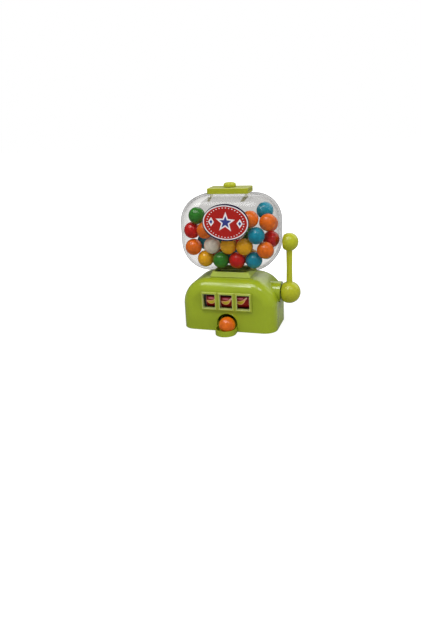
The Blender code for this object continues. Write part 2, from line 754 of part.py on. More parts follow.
def make_oval(look):
    outline = [
        (OVAL_WIDTH / 2 * u, OVAL_HEIGHT / 2 * v) for u, v in circle((0, 0), 1, FINE_STEPS)
    ]
    face = -GLOBE_DEPTH / 2 - GAP - OVAL_THICK / 2
    place("oval_plate", plate_mesh("oval_plate", [outline], OVAL_THICK), on_x_z((OVAL_X, face, OVAL_Z)), look)


def make_lid(look):
    frame_half = (LID_HALF_WIDTH, LID_HALF_DEPTH - LID_SKIRT - GAP)
    low = GLOBE_TOP + FILL_RIM + GAP
    frame_rect = (-frame_half[0], -frame_half[1], *frame_half)
    frame_top = low + LID_FRAME_THICK
    ring = tapered_slab("lid_frame", frame_rect, frame_rect, low, frame_top, LID_ROUND, LID_CORNER_STEPS)
    frame = place("lid_frame", ring, Matrix(), look)
    hole = centred(FILL_WIDTH - WELD, FILL_DEPTH - WELD)
    opening = tapered_slab("lid_opening", hole, hole, low - OVERRUN, frame_top + OVERRUN, FILL_ROUND)
    combine(frame, cutter("lid_opening", opening, Matrix()))

    cover_low = frame_top + GAP
    cover_top = cover_low + LID_THICK
    cover_rect = (-LID_HALF_WIDTH, -LID_HALF_DEPTH, LID_HALF_WIDTH, LID_HALF_DEPTH)
    slab = tapered_slab("lid_cover", cover_rect, cover_rect, low, cover_top, LID_ROUND, LID_CORNER_STEPS)
    cover = place("lid_cover", slab, Matrix(), look)
    channel = box_mesh(
        "lid_channel", (-LID_HALF_WIDTH - OVERRUN, -frame_half[1] - GAP, low - OVERRUN),
        (LID_HALF_WIDTH + OVERRUN, frame_half[1] + GAP, cover_low),
    )
    combine(cover, cutter("lid_channel", channel, Matrix()))
    combine(cover, upright_rod("peg_hole", KNOB_PEG + GAP, cover_low - OVERRUN, cover_top + OVERRUN))

    knob_low = cover_top + GAP
    dome_low = knob_low + KNOB_HEIGHT * (1 - DOME_BASE_SHARE)
    dome_rise = KNOB_HEIGHT * DOME_BASE_SHARE
    profile = [
        (KNOB_RADIUS * math.sin(a), dome_low + dome_rise * math.cos(a))
        for a in np.linspace(0, math.pi / 2, DOME_STEPS)
    ]
    profile += [
        (KNOB_RADIUS, knob_low), (KNOB_PEG, knob_low), (KNOB_PEG, cover_low + GAP), (0.0, cover_low + GAP),
    ]
    profile[0] = (0.0, profile[0][1])
    knob = turned("lid_knob", profile, Matrix(), look, FLUTES * 2)
    for flute in range(FLUTES):
        turn = 2 * math.pi * (flute + FLUTE_START_SHARE) / FLUTES
        flute_top = knob_low + KNOB_HEIGHT * FLUTE_TOP_SHARE
        groove = upright_rod("flute_%02d" % flute, KNOB_FLUTE, knob_low - WELD, flute_top, FLUTE_SIDE_STEPS)
        side = (KNOB_RADIUS * math.cos(turn), KNOB_RADIUS * math.sin(turn), 0)
        groove.matrix_world = Matrix.Translation(side)
        combine(knob, groove)


def cut_ball(name, radius, flat):
    """A ball whose side towards the machine is flat, at a distance from its middle."""
    work = bmesh.new()
    across = Matrix.Rotation(math.pi / 2, 4, "Y")
    bmesh.ops.create_uvsphere(
        work, u_segments=FINE_STEPS // 2, v_segments=SMALL_STEPS, radius=radius, matrix=across
    )
    geometry = work.verts[:] + work.edges[:] + work.faces[:]
    bmesh.ops.bisect_plane(
        work, geom=geometry, dist=WELD, plane_co=(-flat, 0, 0), plane_no=(-1, 0, 0), clear_outer=True
    )
    rim = [edge for edge in work.edges if edge.is_boundary]
    bmesh.ops.holes_fill(work, edges=rim)
    bmesh.ops.recalc_face_normals(work, faces=work.faces)
    return to_mesh(name, work)


def make_lever(look, steel):
    pivot = Matrix.Translation((LEVER_X, 0, LEVER_Z))
    lever = place("lever", cut_ball("lever", HUB_RADIUS, HUB_FLAT), pivot, look)
    low = HUB_RADIUS - 2 * ARM_RADIUS
    high = LEVER_LENGTH - LEVER_KNOB_RADIUS / 2
    middle = (low + high) / 2
    profile = [
        (0.0, high), (ARM_RADIUS, high), (ARM_RADIUS, high - 2 * ARM_RADIUS), (ARM_WAIST, middle),
        (ARM_RADIUS, low + 2 * ARM_RADIUS), (ARM_RADIUS, low), (0.0, low),
    ]
    combine(lever, turned("arm_form", profile, pivot, None, SMALL_STEPS + 2, CUTTERS), "UNION")
    ball = cutter("lever_knob_form", cut_ball("lever_knob", LEVER_KNOB_RADIUS, LEVER_KNOB_FLAT), pivot)
    ball.matrix_world = Matrix.Translation((LEVER_X, 0, LEVER_Z + LEVER_LENGTH))
    combine(lever, ball, "UNION")
    socket = rod_mesh("shaft_socket", SHAFT_RADIUS + GAP, -HUB_FLAT - OVERRUN, -HUB_FLAT + SHAFT_SOCKET + GAP)
    combine(lever, cutter("shaft_socket", socket, pivot))

    on_axis = Matrix.Translation((0, 0, LEVER_Z))
    shaft_low = -SIDE_OUTER - CLIP_THICK - GAP - AXLE_STICKOUT
    shaft_high = LEVER_X - HUB_FLAT + SHAFT_SOCKET
    shaft = rod_mesh("lever_shaft", SHAFT_RADIUS, shaft_low, shaft_high)
    place("lever_shaft", shaft, on_axis, steel)


def ring_profile(inner, outer, thick):
    return [(outer, thick / 2), (outer, -thick / 2), (inner, -thick / 2), (inner, thick / 2)]


def make_bush_and_clips(bush_look, steel):
    wall_inner = BOSS_END - BOSS_WALL
    inner = SHAFT_RADIUS + RUNNING
    outer = bush_radius()
    flange = outer + BUSH_FLANGE
    flange_low = wall_inner - GAP - BUSH_FLANGE_THICK
    profile = [
        (outer, BOSS_END), (outer, wall_inner - GAP), (flange, wall_inner - GAP), (flange, flange_low),
        (inner, flange_low), (inner, BOSS_END),
    ]
    turned("shaft_bush", profile, along_x((0, 0, LEVER_Z)), bush_look, ROUND_STEPS)
    clip_x = -SIDE_OUTER - GAP - CLIP_THICK / 2
    for name, radius, y, z in (
        ("shaft_clip", SHAFT_RADIUS, 0.0, LEVER_Z), ("reel_axle_clip", REEL_AXLE_RADIUS, REEL_Y, REEL_Z)
    ):
        ring = ring_profile(radius + GAP, radius + GAP + CLIP_WIDTH, CLIP_THICK)
        turned(name, ring, along_x((clip_x, y, z)), steel, SMALL_STEPS)


def gear_outline(teeth, first):
    """Involute teeth; first is the angle of one tooth's middle."""
    pitch = GEAR_MODULE * teeth / 2
    base = pitch * math.cos(PRESSURE_ANGLE)
    tip = pitch + GEAR_MODULE * ADDENDUM_SHARE
    root = pitch - GEAR_MODULE * DEDENDUM_SHARE
    at_pitch = math.tan(PRESSURE_ANGLE) - PRESSURE_ANGLE
    half_tooth = math.pi / (2 * teeth) - BACKLASH_SHARE / teeth
    outline = []
    for tooth in range(teeth):
        middle = first + 2 * math.pi * tooth / teeth
        flank = []
        for radius in np.linspace(max(base, root), tip, FLANK_STEPS):
            lean = math.sqrt(max(0.0, (radius / base) ** 2 - 1))
            half = half_tooth + at_pitch - (lean - math.atan(lean))
            flank.append((radius, half))
        if root < base:
            flank.insert(0, (root, flank[0][1]))
        for radius, half in flank:
            outline.append((radius * math.cos(middle - half), radius * math.sin(middle - half)))
        for radius, half in reversed(flank):
            outline.append((radius * math.cos(middle + half), radius * math.sin(middle + half)))
    return outline


def make_gears(look):
    """The lever's gear drives two pinions; each pinion's first tooth meets a gap."""
    lever_gear = [gear_outline(LEVER_TEETH, 0.0), circle((0, 0), SHAFT_RADIUS + GAP, SMALL_STEPS)]
    place(
        "lever_gear", plate_mesh("lever_gear", lever_gear, GEAR_THICK), on_y_z((GEAR_X, 0, LEVER_Z)), look
    )
    pinions = (
        ("reel_pinion", REEL_Y, REEL_Z, REEL_AXLE_RADIUS), ("drum_pinion", DRUM_Y, DRUM_Z, DRUM_JOURNAL)
    )
    for name, y, z, bore in pinions:
        direction = math.atan2(z - LEVER_Z, y)
        lever_phase = direction * LEVER_TEETH / (2 * math.pi)
        first = direction + math.pi - (0.5 - lever_phase) * 2 * math.pi / PINION_TEETH
        outlines = [gear_outline(PINION_TEETH, first), circle((0, 0), bore + GAP, SMALL_STEPS)]
        place(name, plate_mesh(name, outlines, GEAR_THICK), on_y_z((GEAR_X, y, z)), look)


def make_reels(look, steel):
    """Three hollow drums, each with a rim, a web and a hub, side by side on one axle."""
    inner = REEL_RADIUS - REEL_RIM
    bore = REEL_AXLE_RADIUS + GAP
    half = REEL_WIDTH / 2
    web = REEL_WEB / 2
    profile = [
        (REEL_RADIUS, half), (REEL_RADIUS, -half), (inner, -half), (inner, -web), (REEL_HUB, -web),
        (REEL_HUB, -half), (bore, -half), (bore, half), (REEL_HUB, half), (REEL_HUB, web),
        (inner, web), (inner, half),
    ]
    for name, number in (("reel_left", -1), ("reel_middle", 0), ("reel_right", 1)):
        turned(name, profile, along_x((number * REEL_PITCH, REEL_Y, REEL_Z)), look, ROUND_STEPS)
    low = -SIDE_OUTER - CLIP_THICK - GAP - AXLE_STICKOUT
    axle = rod_mesh("reel_axle", REEL_AXLE_RADIUS, low, AXLE_END, SMALL_STEPS)
    place("reel_axle", axle, Matrix.Translation((0, REEL_Y, REEL_Z)), steel)


def make_drum(look):
    """The dispensing drum: one round pocket in its side takes one ball down at each pull."""
    half = DRUM_WIDTH / 2
    profile = [
        (0.0, AXLE_END), (DRUM_JOURNAL, AXLE_END), (DRUM_JOURNAL, half), (DRUM_RADIUS, half),
        (DRUM_RADIUS, -half), (DRUM_JOURNAL, -half), (DRUM_JOURNAL, -SIDE_OUTER), (0.0, -SIDE_OUTER),
    ]
    drum = turned("drum", profile, along_x((0, DRUM_Y, DRUM_Z)), look, ROUND_STEPS)
    seat = DRUM_RADIUS - BALL_DIAMETER + BALL_RADIUS - GAP
    pocket = bmesh.new()
    bmesh.ops.create_cone(
        pocket, cap_ends=True, segments=SMALL_STEPS + 2, radius1=POCKET_RADIUS, radius2=POCKET_RADIUS,
        depth=DRUM_RADIUS, matrix=Matrix.Translation((0, 0, seat + DRUM_RADIUS / 2)),
    )
    on_axis = Matrix.Translation((0, DRUM_Y, DRUM_Z))
    combine(drum, cutter("pocket_bore", to_mesh("pocket_bore", pocket), on_axis))
    bowl = bmesh.new()
    bmesh.ops.create_uvsphere(bowl, u_segments=SMALL_STEPS + 2, v_segments=BOWL_STEPS, radius=POCKET_RADIUS)
    bowl_place = Matrix.Translation((0, DRUM_Y, DRUM_Z + seat))
    combine(drum, cutter("pocket_bowl", to_mesh("pocket_bowl", bowl), bowl_place))


def make_side_plates(look):
    """Two upright plates that carry the lever shaft, the reel axle and the drum."""
    low = PLATE_TOP
    front = REEL_Y - REEL_AXLE_RADIUS - RUNNING - SIDE_BORDER
    back = DRUM_Y + DRUM_JOURNAL + RUNNING + SIDE_BORDER
    top = LEVER_Z + SHAFT_RADIUS + RUNNING + SIDE_BORDER
    rise = DRUM_JOURNAL + RUNNING + SIDE_BORDER
    reach = SHAFT_RADIUS + RUNNING + SIDE_BORDER
    sole = low + SIDE_THICK / 2
    outline = [
        (front, sole), (back, sole), (back, DRUM_Z + rise), (reach, top), (-reach, top),
        (front, REEL_Z + rise),
    ]
    holes = [
        circle((0, LEVER_Z), SHAFT_RADIUS + RUNNING, ROUND_STEPS),
        circle((REEL_Y, REEL_Z), REEL_AXLE_RADIUS + RUNNING, SMALL_STEPS),
        circle((DRUM_Y, DRUM_Z), DRUM_JOURNAL + RUNNING, SMALL_STEPS),
    ]
    for name, sign in (("side_plate_left", -1), ("side_plate_right", 1)):
        x = sign * (SIDE_INNER + SIDE_THICK / 2)
        plate = place(name, plate_mesh(name, [outline] + holes, SIDE_THICK), on_y_z((x, 0, 0)), look)
        edges = sorted((sign * (SIDE_INNER + GAP), sign * (SIDE_OUTER + SIDE_TAB)))
        foot_low = (edges[0], front + GAP, low)
        foot = box_mesh("foot_form", foot_low, (edges[1], back - GAP, low + SIDE_THICK))
        combine(plate, cutter(name + "_foot", foot, Matrix()), "UNION")


def make_throat(look):
    """A flanged funnel under the base's ceiling that leads back to the drum."""
    opening = throat_rectangle(0.0)
    rim = throat_rectangle(THROAT_BORDER)
    top = min(ceiling_at(0, rim[3]), CEILING) - GAP
    low = max(DRUM_Z + DRUM_RADIUS, LEVER_Z + SHAFT_RADIUS) + THROAT_WALL + GAP
    outlet = POCKET_RADIUS + BALL_ROOM
    steps = CORNER_STEPS - 2
    loops = [
        (rounded_rectangle(rim[:2], rim[2:], NECK_ROUND + THROAT_BORDER, steps), top),
        (rounded_rectangle(opening[:2], opening[2:], NECK_ROUND, steps), top),
        (
            rounded_rectangle(
                (-outlet, DRUM_Y - outlet), (outlet, DRUM_Y + outlet - GAP),
                outlet * OUTLET_ROUND_SHARE, steps,
            ),
            low,
        ),
    ]
    work = bmesh.new()
    rings = []
    for outline, z in loops:
        verts = [work.verts.new((x, y, z)) for x, y in outline]
        rings.append([work.edges.new((verts[n - 1], verts[n])) for n in range(len(verts))])
    for upper, lower in zip(rings, rings[1:]):
        bmesh.ops.bridge_loops(work, edges=upper + lower)
    bmesh.ops.recalc_face_normals(work, faces=work.faces)
    funnel = place("feed_throat", to_mesh("feed_throat", work), Matrix(), look)
    shell = funnel.modifiers.new("wall", "SOLIDIFY")
    shell.thickness = THROAT_WALL
    shell.offset = -1
    shell.use_even_offset = True


def make_spring(look):
    """A coil round the lever shaft with a leg at each end."""
    radius = SHAFT_RADIUS + SPRING_ROOM + SPRING_WIRE
    low = AXLE_END + SPRING_ROOM + SPRING_WIRE
    pitch = 2 * SPRING_WIRE + GAP
    points = []
    for step in range(SPRING_TURNS * COIL_STEPS + 1):
        turn = 2 * math.pi * step / COIL_STEPS
        points.append((low + pitch * step / COIL_STEPS, radius * math.cos(turn), radius * math.sin(turn)))
    first = points[0]
    last = points[-1]
    points.insert(0, (first[0], first[1], first[2] - SPRING_LEG))
    points.append((last[0], last[1], last[2] + SPRING_LEG))
    curve = bpy.data.curves.new("return_spring", "CURVE")
    curve.dimensions = "3D"
    curve.bevel_depth = SPRING_WIRE
    curve.bevel_resolution = 1
    curve.use_fill_caps = True
    spline = curve.splines.new("POLY")
    spline.points.add(len(points) - 1)
    for point, place_on in zip(spline.points, points):
        point.co = (*place_on, 1)
    spring = bpy.data.objects.new("return_spring", curve)
    bpy.data.collections[PARTS].objects.link(spring)
    spring.matrix_world = Matrix.Translation((0, 0, LEVER_Z))
    curve.materials.append(look)


# Where the balls start, as shares of the globe's half width, half depth and height, front row
# first, each with its colour; they are then let down until each one is held.
BALL_SHARES = (
    ("yellow", -0.57, -0.52, 0.17), ("green", -0.21, -0.60, 0.16), ("red", 0.17, -0.60, 0.155),
    ("blue", 0.55, -0.55, 0.17), ("orange", -0.80, -0.40, 0.335), ("white", -0.395, -0.50, 0.35),
    ("yellow", -0.036, -0.50, 0.345), ("yellow", 0.35, -0.50, 0.35), ("orange", 0.82, -0.50, 0.315),
    ("red", -0.82, -0.45, 0.555), ("orange", -0.51, -0.60, 0.555), ("blue", 0.66, -0.58, 0.51),
    ("green", -0.68, -0.45, 0.77), ("orange", 0.52, -0.55, 0.72), ("orange", 0.84, -0.50, 0.69),
    ("blue", 0.74, 0.24, 0.79), ("white", 0.80, 0.50, 0.30), ("blue", -0.66, 0.10, 0.40),
    ("green", 0.34, 0.10, 0.50), ("red", -0.12, -0.50, 0.56), ("white", 0.24, -0.50, 0.56),
    ("orange", -0.40, 0.25, 0.17), ("blue", 0.00, 0.25, 0.16), ("yellow", 0.38, 0.25, 0.17),
    ("green", -0.20, 0.50, 0.36), ("red", 0.17, 0.50, 0.36), ("red", 0.84, 0.30, 0.42),
    ("orange", 0.84, 0.62, 0.585),
)


def wall_push(points):
    """How far each ball has to move to clear the globe's inner wall, and which way."""
    top_round = GLOBE_TOP_ROUND - GLOBE_WALL
    low_round = GLOBE_LOW_ROUND - GLOBE_WALL
    half = GLOBE_WIDTH / 2 - GLOBE_WALL
    half_depth = GLOBE_DEPTH / 2 - GLOBE_WALL
    high = GLOBE_TOP - GLOBE_WALL
    low = GLOBE_BOTTOM + GLOBE_WALL
    edge = GLOBE_EDGE - GLOBE_WALL
    edge_depth = GLOBE_EDGE_DEPTH - GLOBE_WALL
    turn = np.linspace(0, math.pi / 2, WALL_STEPS)
    rim_in = edge * (1 - np.sin(turn))
    rim_depth = half_depth - edge_depth * (1 - np.cos(turn))
    need = BALL_RADIUS + GAP
    moves = np.zeros_like(points)
    for index, (x, y, z) in enumerate(points):
        radius = top_round if z > (high + low) / 2 else low_round
        centre_z = high - radius if z > (high + low) / 2 else low + radius
        past_x = abs(x) - (half - radius)
        past_z = (z - centre_z) if z > (high + low) / 2 else (centre_z - z)
        side = 1 if x > 0 else -1
        upward = 1 if z > (high + low) / 2 else -1
        if past_x > 0 and past_z > 0:
            reach = math.hypot(past_x, past_z)
            depth_in = radius - reach
            outward = (side * past_x / reach, upward * past_z / reach)
        elif half - abs(x) < radius - past_z:
            depth_in = half - abs(x)
            outward = (side, 0.0)
        else:
            depth_in = radius - past_z
            outward = (0.0, upward)
        ahead = abs(y)
        side_y = 1 if y > 0 else -1
        gaps = np.hypot(depth_in - rim_in, ahead - rim_depth)
        nearest = int(np.argmin(gaps))
        options = [(gaps[nearest], depth_in - rim_in[nearest], rim_depth[nearest] - ahead)]
        if ahead < half_depth - edge_depth:
            options.append((depth_in, depth_in, 0.0))
        if depth_in > edge:
            options.append((half_depth - ahead, 0.0, half_depth - ahead))
        distance, inward, back = min(options)
        if distance < need and distance > 0:
            scale = (need - distance) / distance
            moves[index] = (
                -outward[0] * inward * scale, -side_y * back * scale, -outward[1] * inward * scale
            )
    return moves


def packed_balls():
    """Balls let down from their starting places until neighbours and the wall hold them."""
    shares = np.array([entry[1:] for entry in BALL_SHARES])
    room = np.array((GLOBE_WIDTH / 2 - GLOBE_WALL, GLOBE_DEPTH / 2 - GLOBE_WALL, PILE_HEIGHT))
    points = shares * room + np.array((0.0, 0.0, GLOBE_BOTTOM))
    count = len(points)
    upper = np.triu_indices(count, 1)
    for step in range(PACK_STEPS):
        sink = GAP * PACK_SINK_SHARE * max(0.0, 1.0 - step / (PACK_STEPS * PACK_REST_SHARE))
        points[:, 2] -= sink
        offset = points[upper[0]] - points[upper[1]]
        distance = np.maximum(np.linalg.norm(offset, axis=1), WELD)
        short = np.clip(BALL_PITCH - distance, 0.0, None) / 2
        move = offset / distance[:, None] * short[:, None]
        np.add.at(points, upper[0], move * PACK_EASE_SHARE)
        np.add.at(points, upper[1], -move * PACK_EASE_SHARE)
        points += wall_push(points)
    return points


def ball_mesh(name):
    work = bmesh.new()
    bmesh.ops.create_icosphere(work, subdivisions=2, radius=BALL_RADIUS)
    return to_mesh(name, work)


def make_balls(looks):
    for number, (entry, point) in enumerate(zip(BALL_SHARES, packed_balls())):
        name = "gumball_%02d" % (number + 1)
        place(name, ball_mesh(name), Matrix.Translation(point), looks[entry[0]])
    rest_z = CHUTE_FLOOR + GAP + BALL_RADIUS
    at_rim = math.sqrt((BALL_RADIUS + GAP) ** 2 - (rest_z - TRAY_RIM) ** 2)
    lean = tray_reach() - CHUTE_WALL - at_rim
    rest_x = lean * math.sin(BALL_LEAN)
    rest_y = tray_middle() - lean * math.cos(BALL_LEAN)
    at = Matrix.Translation((rest_x, rest_y, rest_z))
    place("chute_gumball", ball_mesh("chute_gumball"), at, looks["orange"])


def main():
    lime = material("lime_plastic", LIME, 0.3)
    olive = material("olive_lime_plastic", OLIVE_LIME, 0.3)
    clear = material("clear_plastic", CLEAR, 0.05, alpha=0.25)
    red = material("reel_red", DARK_RED, 0.35)
    steel = material("steel", STEEL, 0.3, 1.0)
    natural = material("natural_plastic", NATURAL, 0.45)
    label = material("label_red", LABEL_RED, 0.3)
    gums = {name: material("gum_" + name, colour, 0.3) for name, colour in GUM_COLOURS.items()}
    make_base(lime)
    make_bottom(lime)
    make_screws(steel)
    make_chute(lime)
    make_window_frame(lime)
    make_seat(lime)
    make_globe(clear)
    make_oval(label)
    make_lid(olive)
    make_lever(olive, steel)
    make_bush_and_clips(natural, steel)
    make_gears(natural)
    make_reels(red, steel)
    make_drum(natural)
    make_side_plates(natural)
    make_throat(natural)
    make_spring(steel)
    make_balls(gums)


main()
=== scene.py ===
# %% [markdown] # A countertop gum vending machine  This lesson dresses a finished mechanical
# model. Where a solid is already right it only gets a finish. Where it is too coarse for a
# close look, a smoother piece of the same size stands for it.

# %% Loading the frame
import json
import math

import bmesh
import bpy
import numpy as np
from mathutils import Matrix, Vector


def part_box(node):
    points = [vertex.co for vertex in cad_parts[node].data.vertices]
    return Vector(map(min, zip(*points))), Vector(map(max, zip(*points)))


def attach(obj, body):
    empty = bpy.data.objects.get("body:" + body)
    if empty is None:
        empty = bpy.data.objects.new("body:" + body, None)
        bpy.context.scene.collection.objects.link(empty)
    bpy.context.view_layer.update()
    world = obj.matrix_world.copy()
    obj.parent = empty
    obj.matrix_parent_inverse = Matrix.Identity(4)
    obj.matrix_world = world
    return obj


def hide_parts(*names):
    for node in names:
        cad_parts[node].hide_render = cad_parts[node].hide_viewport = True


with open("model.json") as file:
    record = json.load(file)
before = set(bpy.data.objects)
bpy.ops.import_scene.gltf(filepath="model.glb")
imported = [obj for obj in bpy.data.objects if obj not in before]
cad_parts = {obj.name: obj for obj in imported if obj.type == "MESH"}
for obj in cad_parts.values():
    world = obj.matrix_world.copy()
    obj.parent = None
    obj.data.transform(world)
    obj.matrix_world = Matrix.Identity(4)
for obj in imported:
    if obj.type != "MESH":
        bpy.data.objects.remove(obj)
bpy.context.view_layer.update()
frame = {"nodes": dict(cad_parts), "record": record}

nodes = frame["nodes"]
print("pieces in the frame:", len(nodes))

# %% [markdown]
# ## The camera
#
# The place, the turn and the focal length below come from fitting a pinhole camera to corners
# of the base, the lid, the lever and the label whose sizes are known from the solids. A pinhole
# has one number for its zoom, the focal length in picture heights, and a lens in Blender is that
# number times the sensor's height.

# %% Placing the camera
MM = 0.001
CAMERA_PLACE = Vector((136.723, -455.186, 178.755)) * MM
CAMERA_TURN = math.radians(19.422)
CAMERA_DIP = math.radians(19.851)
CAMERA_ROLL = math.radians(3.233)
FOCAL_HEIGHTS = 550.821 / 631.0
SENSOR = 36.0

ahead = Vector((
    -math.sin(CAMERA_TURN) * math.cos(CAMERA_DIP),
    math.cos(CAMERA_TURN) * math.cos(CAMERA_DIP),
    -math.sin(CAMERA_DIP),
))
level = Vector((math.cos(CAMERA_TURN), math.sin(CAMERA_TURN), 0.0))
down = ahead.cross(level)
right = level * math.cos(CAMERA_ROLL) + down * math.sin(CAMERA_ROLL)
up = level * math.sin(CAMERA_ROLL) - down * math.cos(CAMERA_ROLL)

lens = bpy.data.cameras.new("camera")
lens.sensor_fit = "VERTICAL"
lens.sensor_height = SENSOR
lens.lens = FOCAL_HEIGHTS * SENSOR
lens.clip_start = 0.01
camera = bpy.data.objects.new("camera", lens)
bpy.context.scene.collection.objects.link(camera)
turned_axes = Matrix((right, up, -ahead)).transposed().to_4x4()
camera.matrix_world = Matrix.Translation(CAMERA_PLACE) @ turned_axes
bpy.context.scene.camera = camera
bpy.context.scene.view_settings.view_transform = "Standard"
print("camera lens:", round(lens.lens, 2), "mm on a", SENSOR, "mm tall sensor")

# %% [markdown]
# ## Nodes from Python sums
#
# Every finish here is a graph of nodes, and a small class builds it from plain sums: each sum
# of two signals adds the node that does it. A few functions stand for the nodes that come back
# in most finishes, such as noise at a real scale, a soft step and a mix of two colours.

# %% Signals in Python sums
class Signal:
    """An output socket that can be used in Python sums; every sum adds the node it needs."""

    def __init__(self, tree, socket):
        self.tree = tree
        self.socket = socket

    def node(self, kind, settings=None, inputs=None, output=0):
        made = self.tree.nodes.new(kind)
        for key, value in (settings or {}).items():
            setattr(made, key, value)
        return feed(Signal(self.tree, made.outputs[output]), inputs or {})

    def maths(self, operation, *values):
        return self.node("ShaderNodeMath", {"operation": operation}, dict(enumerate(values)))

    def __add__(self, other):
        return self.maths("ADD", self, other)

    def __sub__(self, other):
        return self.maths("SUBTRACT", self, other)

    def __rsub__(self, other):
        return self.maths("SUBTRACT", other, self)

    def __mul__(self, other):
        return self.maths("MULTIPLY", self, other)

    def __truediv__(self, other):
        return self.maths("DIVIDE", self, other)

    def __pow__(self, other):
        return self.maths("POWER", self, other)

    def __abs__(self):
        return self.maths("ABSOLUTE", self)

    __radd__, __rmul__ = __add__, __mul__


def feed(signal, values):
    """Links signals to the inputs of the signal's node, and sets plain values on the inputs."""
    inputs = signal.socket.node.inputs
    for name, value in values.items():
        if isinstance(value, Signal):
            signal.tree.links.new(value.socket, inputs[name])
        else:
            inputs[name].default_value = value
    return signal


print("methods of a signal:", [name for name, part in vars(Signal).items() if callable(part)])

# %% Finish helpers
def new_finish(name):
    """A new material, the signal of its shader, and the place on the object."""
    made = bpy.data.materials.new(name)
    made.use_nodes = True
    shader = Signal(made.node_tree, made.node_tree.nodes["Principled BSDF"].outputs[0])
    return made, shader, object_place(shader)


def object_place(signal):
    return signal.node("ShaderNodeTexCoord", output="Object")


def separate(place):
    axes = place.node("ShaderNodeSeparateXYZ", inputs={0: place}, output="X")
    return tuple(Signal(place.tree, axes.socket.node.outputs[axis]) for axis in range(3))


def noise(place, features_mm, detail=3.0, rough=0.5):
    """Soft random values from 0 to 1 whose features are about as wide as asked."""
    inputs = {"Vector": place, "Scale": 1.0 / (features_mm * MM), "Detail": detail, "Roughness": rough}
    return place.node("ShaderNodeTexNoise", inputs=inputs)


def between(value, low, high, out_low=0.0, out_high=1.0, kind="SMOOTHSTEP"):
    """A step from low to high, smooth if not told otherwise."""
    inputs = {"Value": value, "From Min": low, "From Max": high, "To Min": out_low, "To Max": out_high}
    return value.node("ShaderNodeMapRange", {"interpolation_type": kind}, inputs)


def blended(share, first, second):
    """Two shaders mixed: all of the first where the share is 0, all of the second where it is 1."""
    return share.node("ShaderNodeMixShader", inputs={0: share, 1: first, 2: second})


def show(finish, mixed):
    surface = finish.node_tree.nodes["Material Output"].inputs["Surface"]
    finish.node_tree.links.new(mixed.socket, surface)
    return finish


def ray(signal, kind):
    return signal.node("ShaderNodeLightPath", output=f"Is {kind} Ray")


def mix_colours(share, first, second):
    def wide(colour):
        return colour if isinstance(colour, Signal) else (*colour, 1.0)
    return share.node(
        "ShaderNodeMix", {"data_type": "RGBA"}, {0: share, 6: wide(first), 7: wide(second)}, output=2
    )


def bumped(height, depth_mm, strength):
    inputs = {"Height": height, "Distance": depth_mm * MM, "Strength": strength}
    return height.node("ShaderNodeBump", inputs=inputs)


def dye_of(finish):
    """The signal of a finish's shader, and the signal that colours it now."""
    tree = finish.node_tree
    shader = tree.nodes["Principled BSDF"]
    dye = shader.inputs["Base Color"].links[0].from_socket
    return Signal(tree, shader.outputs[0]), Signal(tree, dye)


def shade_of(colour, factor):
    return tuple(min(1.0, part * factor) for part in colour)


print("the scale of noise with features 2 mm wide:", round(1.0 / (2 * MM)))

# %% [markdown]
# ## Light and surroundings
#
# Toys like this are photographed in a white tent. Two wide soft panes hang side by side above
# the front, a little to the left, and draw the long pale band along the top edge of the base
# and of the globe. They lie level in one plane, because a tilted one would draw a tilted band.
# Two smaller boxes in front leave small bright patches on every ball. Two panels behind, a wide
# high one and a small low one, give the top faces their pale sheen. Two fills, one in front and
# one on the lever's side, light what the others miss, and no surface mirrors those. The world
# adds the even part. Mirrored rays see it darker, so that the dyes stay deep, and only camera
# rays see it pure white, so that the background is white without more light on the machine.

# %% The world
WORLD_LEVEL = 0.42
MIRRORED_LEVEL = 0.12
world = bpy.data.worlds.new("white_tent")
bpy.context.scene.world = world
world.use_nodes = True
backdrop = world.node_tree.nodes["Background"]
start = Signal(world.node_tree, backdrop.outputs[0])
tent = ray(start, "Camera") * (1.0 - WORLD_LEVEL) + WORLD_LEVEL
tent = tent - ray(start, "Glossy") * (WORLD_LEVEL - MIRRORED_LEVEL)
world.node_tree.links.new(tent.socket, backdrop.inputs["Strength"])
backdrop.inputs["Color"].default_value = (1.0, 1.0, 1.0, 1.0)
print("world light level:", WORLD_LEVEL)

# %% Soft lamps
MIDDLE = Vector((0.0, 0.0, 0.07))
# Name, direction and distance from the middle, size, watts, and whether surfaces mirror it.
LAMPS = (
    ("left_pane", (-0.55, -0.36, 0.93), 1.14, (0.47, 0.42), 2.6, True),
    ("right_pane", (-0.03, -0.36, 0.93), 1.00, (0.47, 0.42), 2.6, True),
    ("front_left_box", (-0.155, -0.600, 0.777), 1.05, (0.24, 0.24), 1.5, True),
    ("front_right_box", (0.447, -0.445, 0.771), 1.05, (0.24, 0.24), 1.0, True),
    ("rear_panel", (0.35, 0.75, 0.62), 1.10, (1.60, 0.90), 4.8, True),
    ("rear_low_panel", (-0.31, 0.89, 0.40), 1.10, (0.26, 0.20), 0.2, True),
    ("right_fill", (0.88, -0.20, 0.42), 1.20, (0.80, 0.80), 4.5, False),
    ("front_fill", (-0.10, -0.93, 0.30), 1.30, (1.20, 0.70), 3.0, False),
)
for name, way, distance, size, watts, mirrored in LAMPS:
    light = bpy.data.lights.new(name, "AREA")
    light.shape = "RECTANGLE"
    light.size, light.size_y = size
    light.energy = watts
    lamp = bpy.data.objects.new(name, light)
    bpy.context.scene.collection.objects.link(lamp)
    lamp.visible_glossy = mirrored
    place = MIDDLE + Vector(way).normalized() * distance
    aim = Vector((place.x, MIDDLE.y, MIDDLE.z)) if name.endswith("pane") else MIDDLE
    back = (place - aim).normalized()
    side = (Vector((1.0, 0.0, 0.0)) - back * back.x).normalized()
    turned = Matrix((side, back.cross(side), back)).transposed().to_4x4()
    lamp.matrix_world = Matrix.Translation(place) @ turned

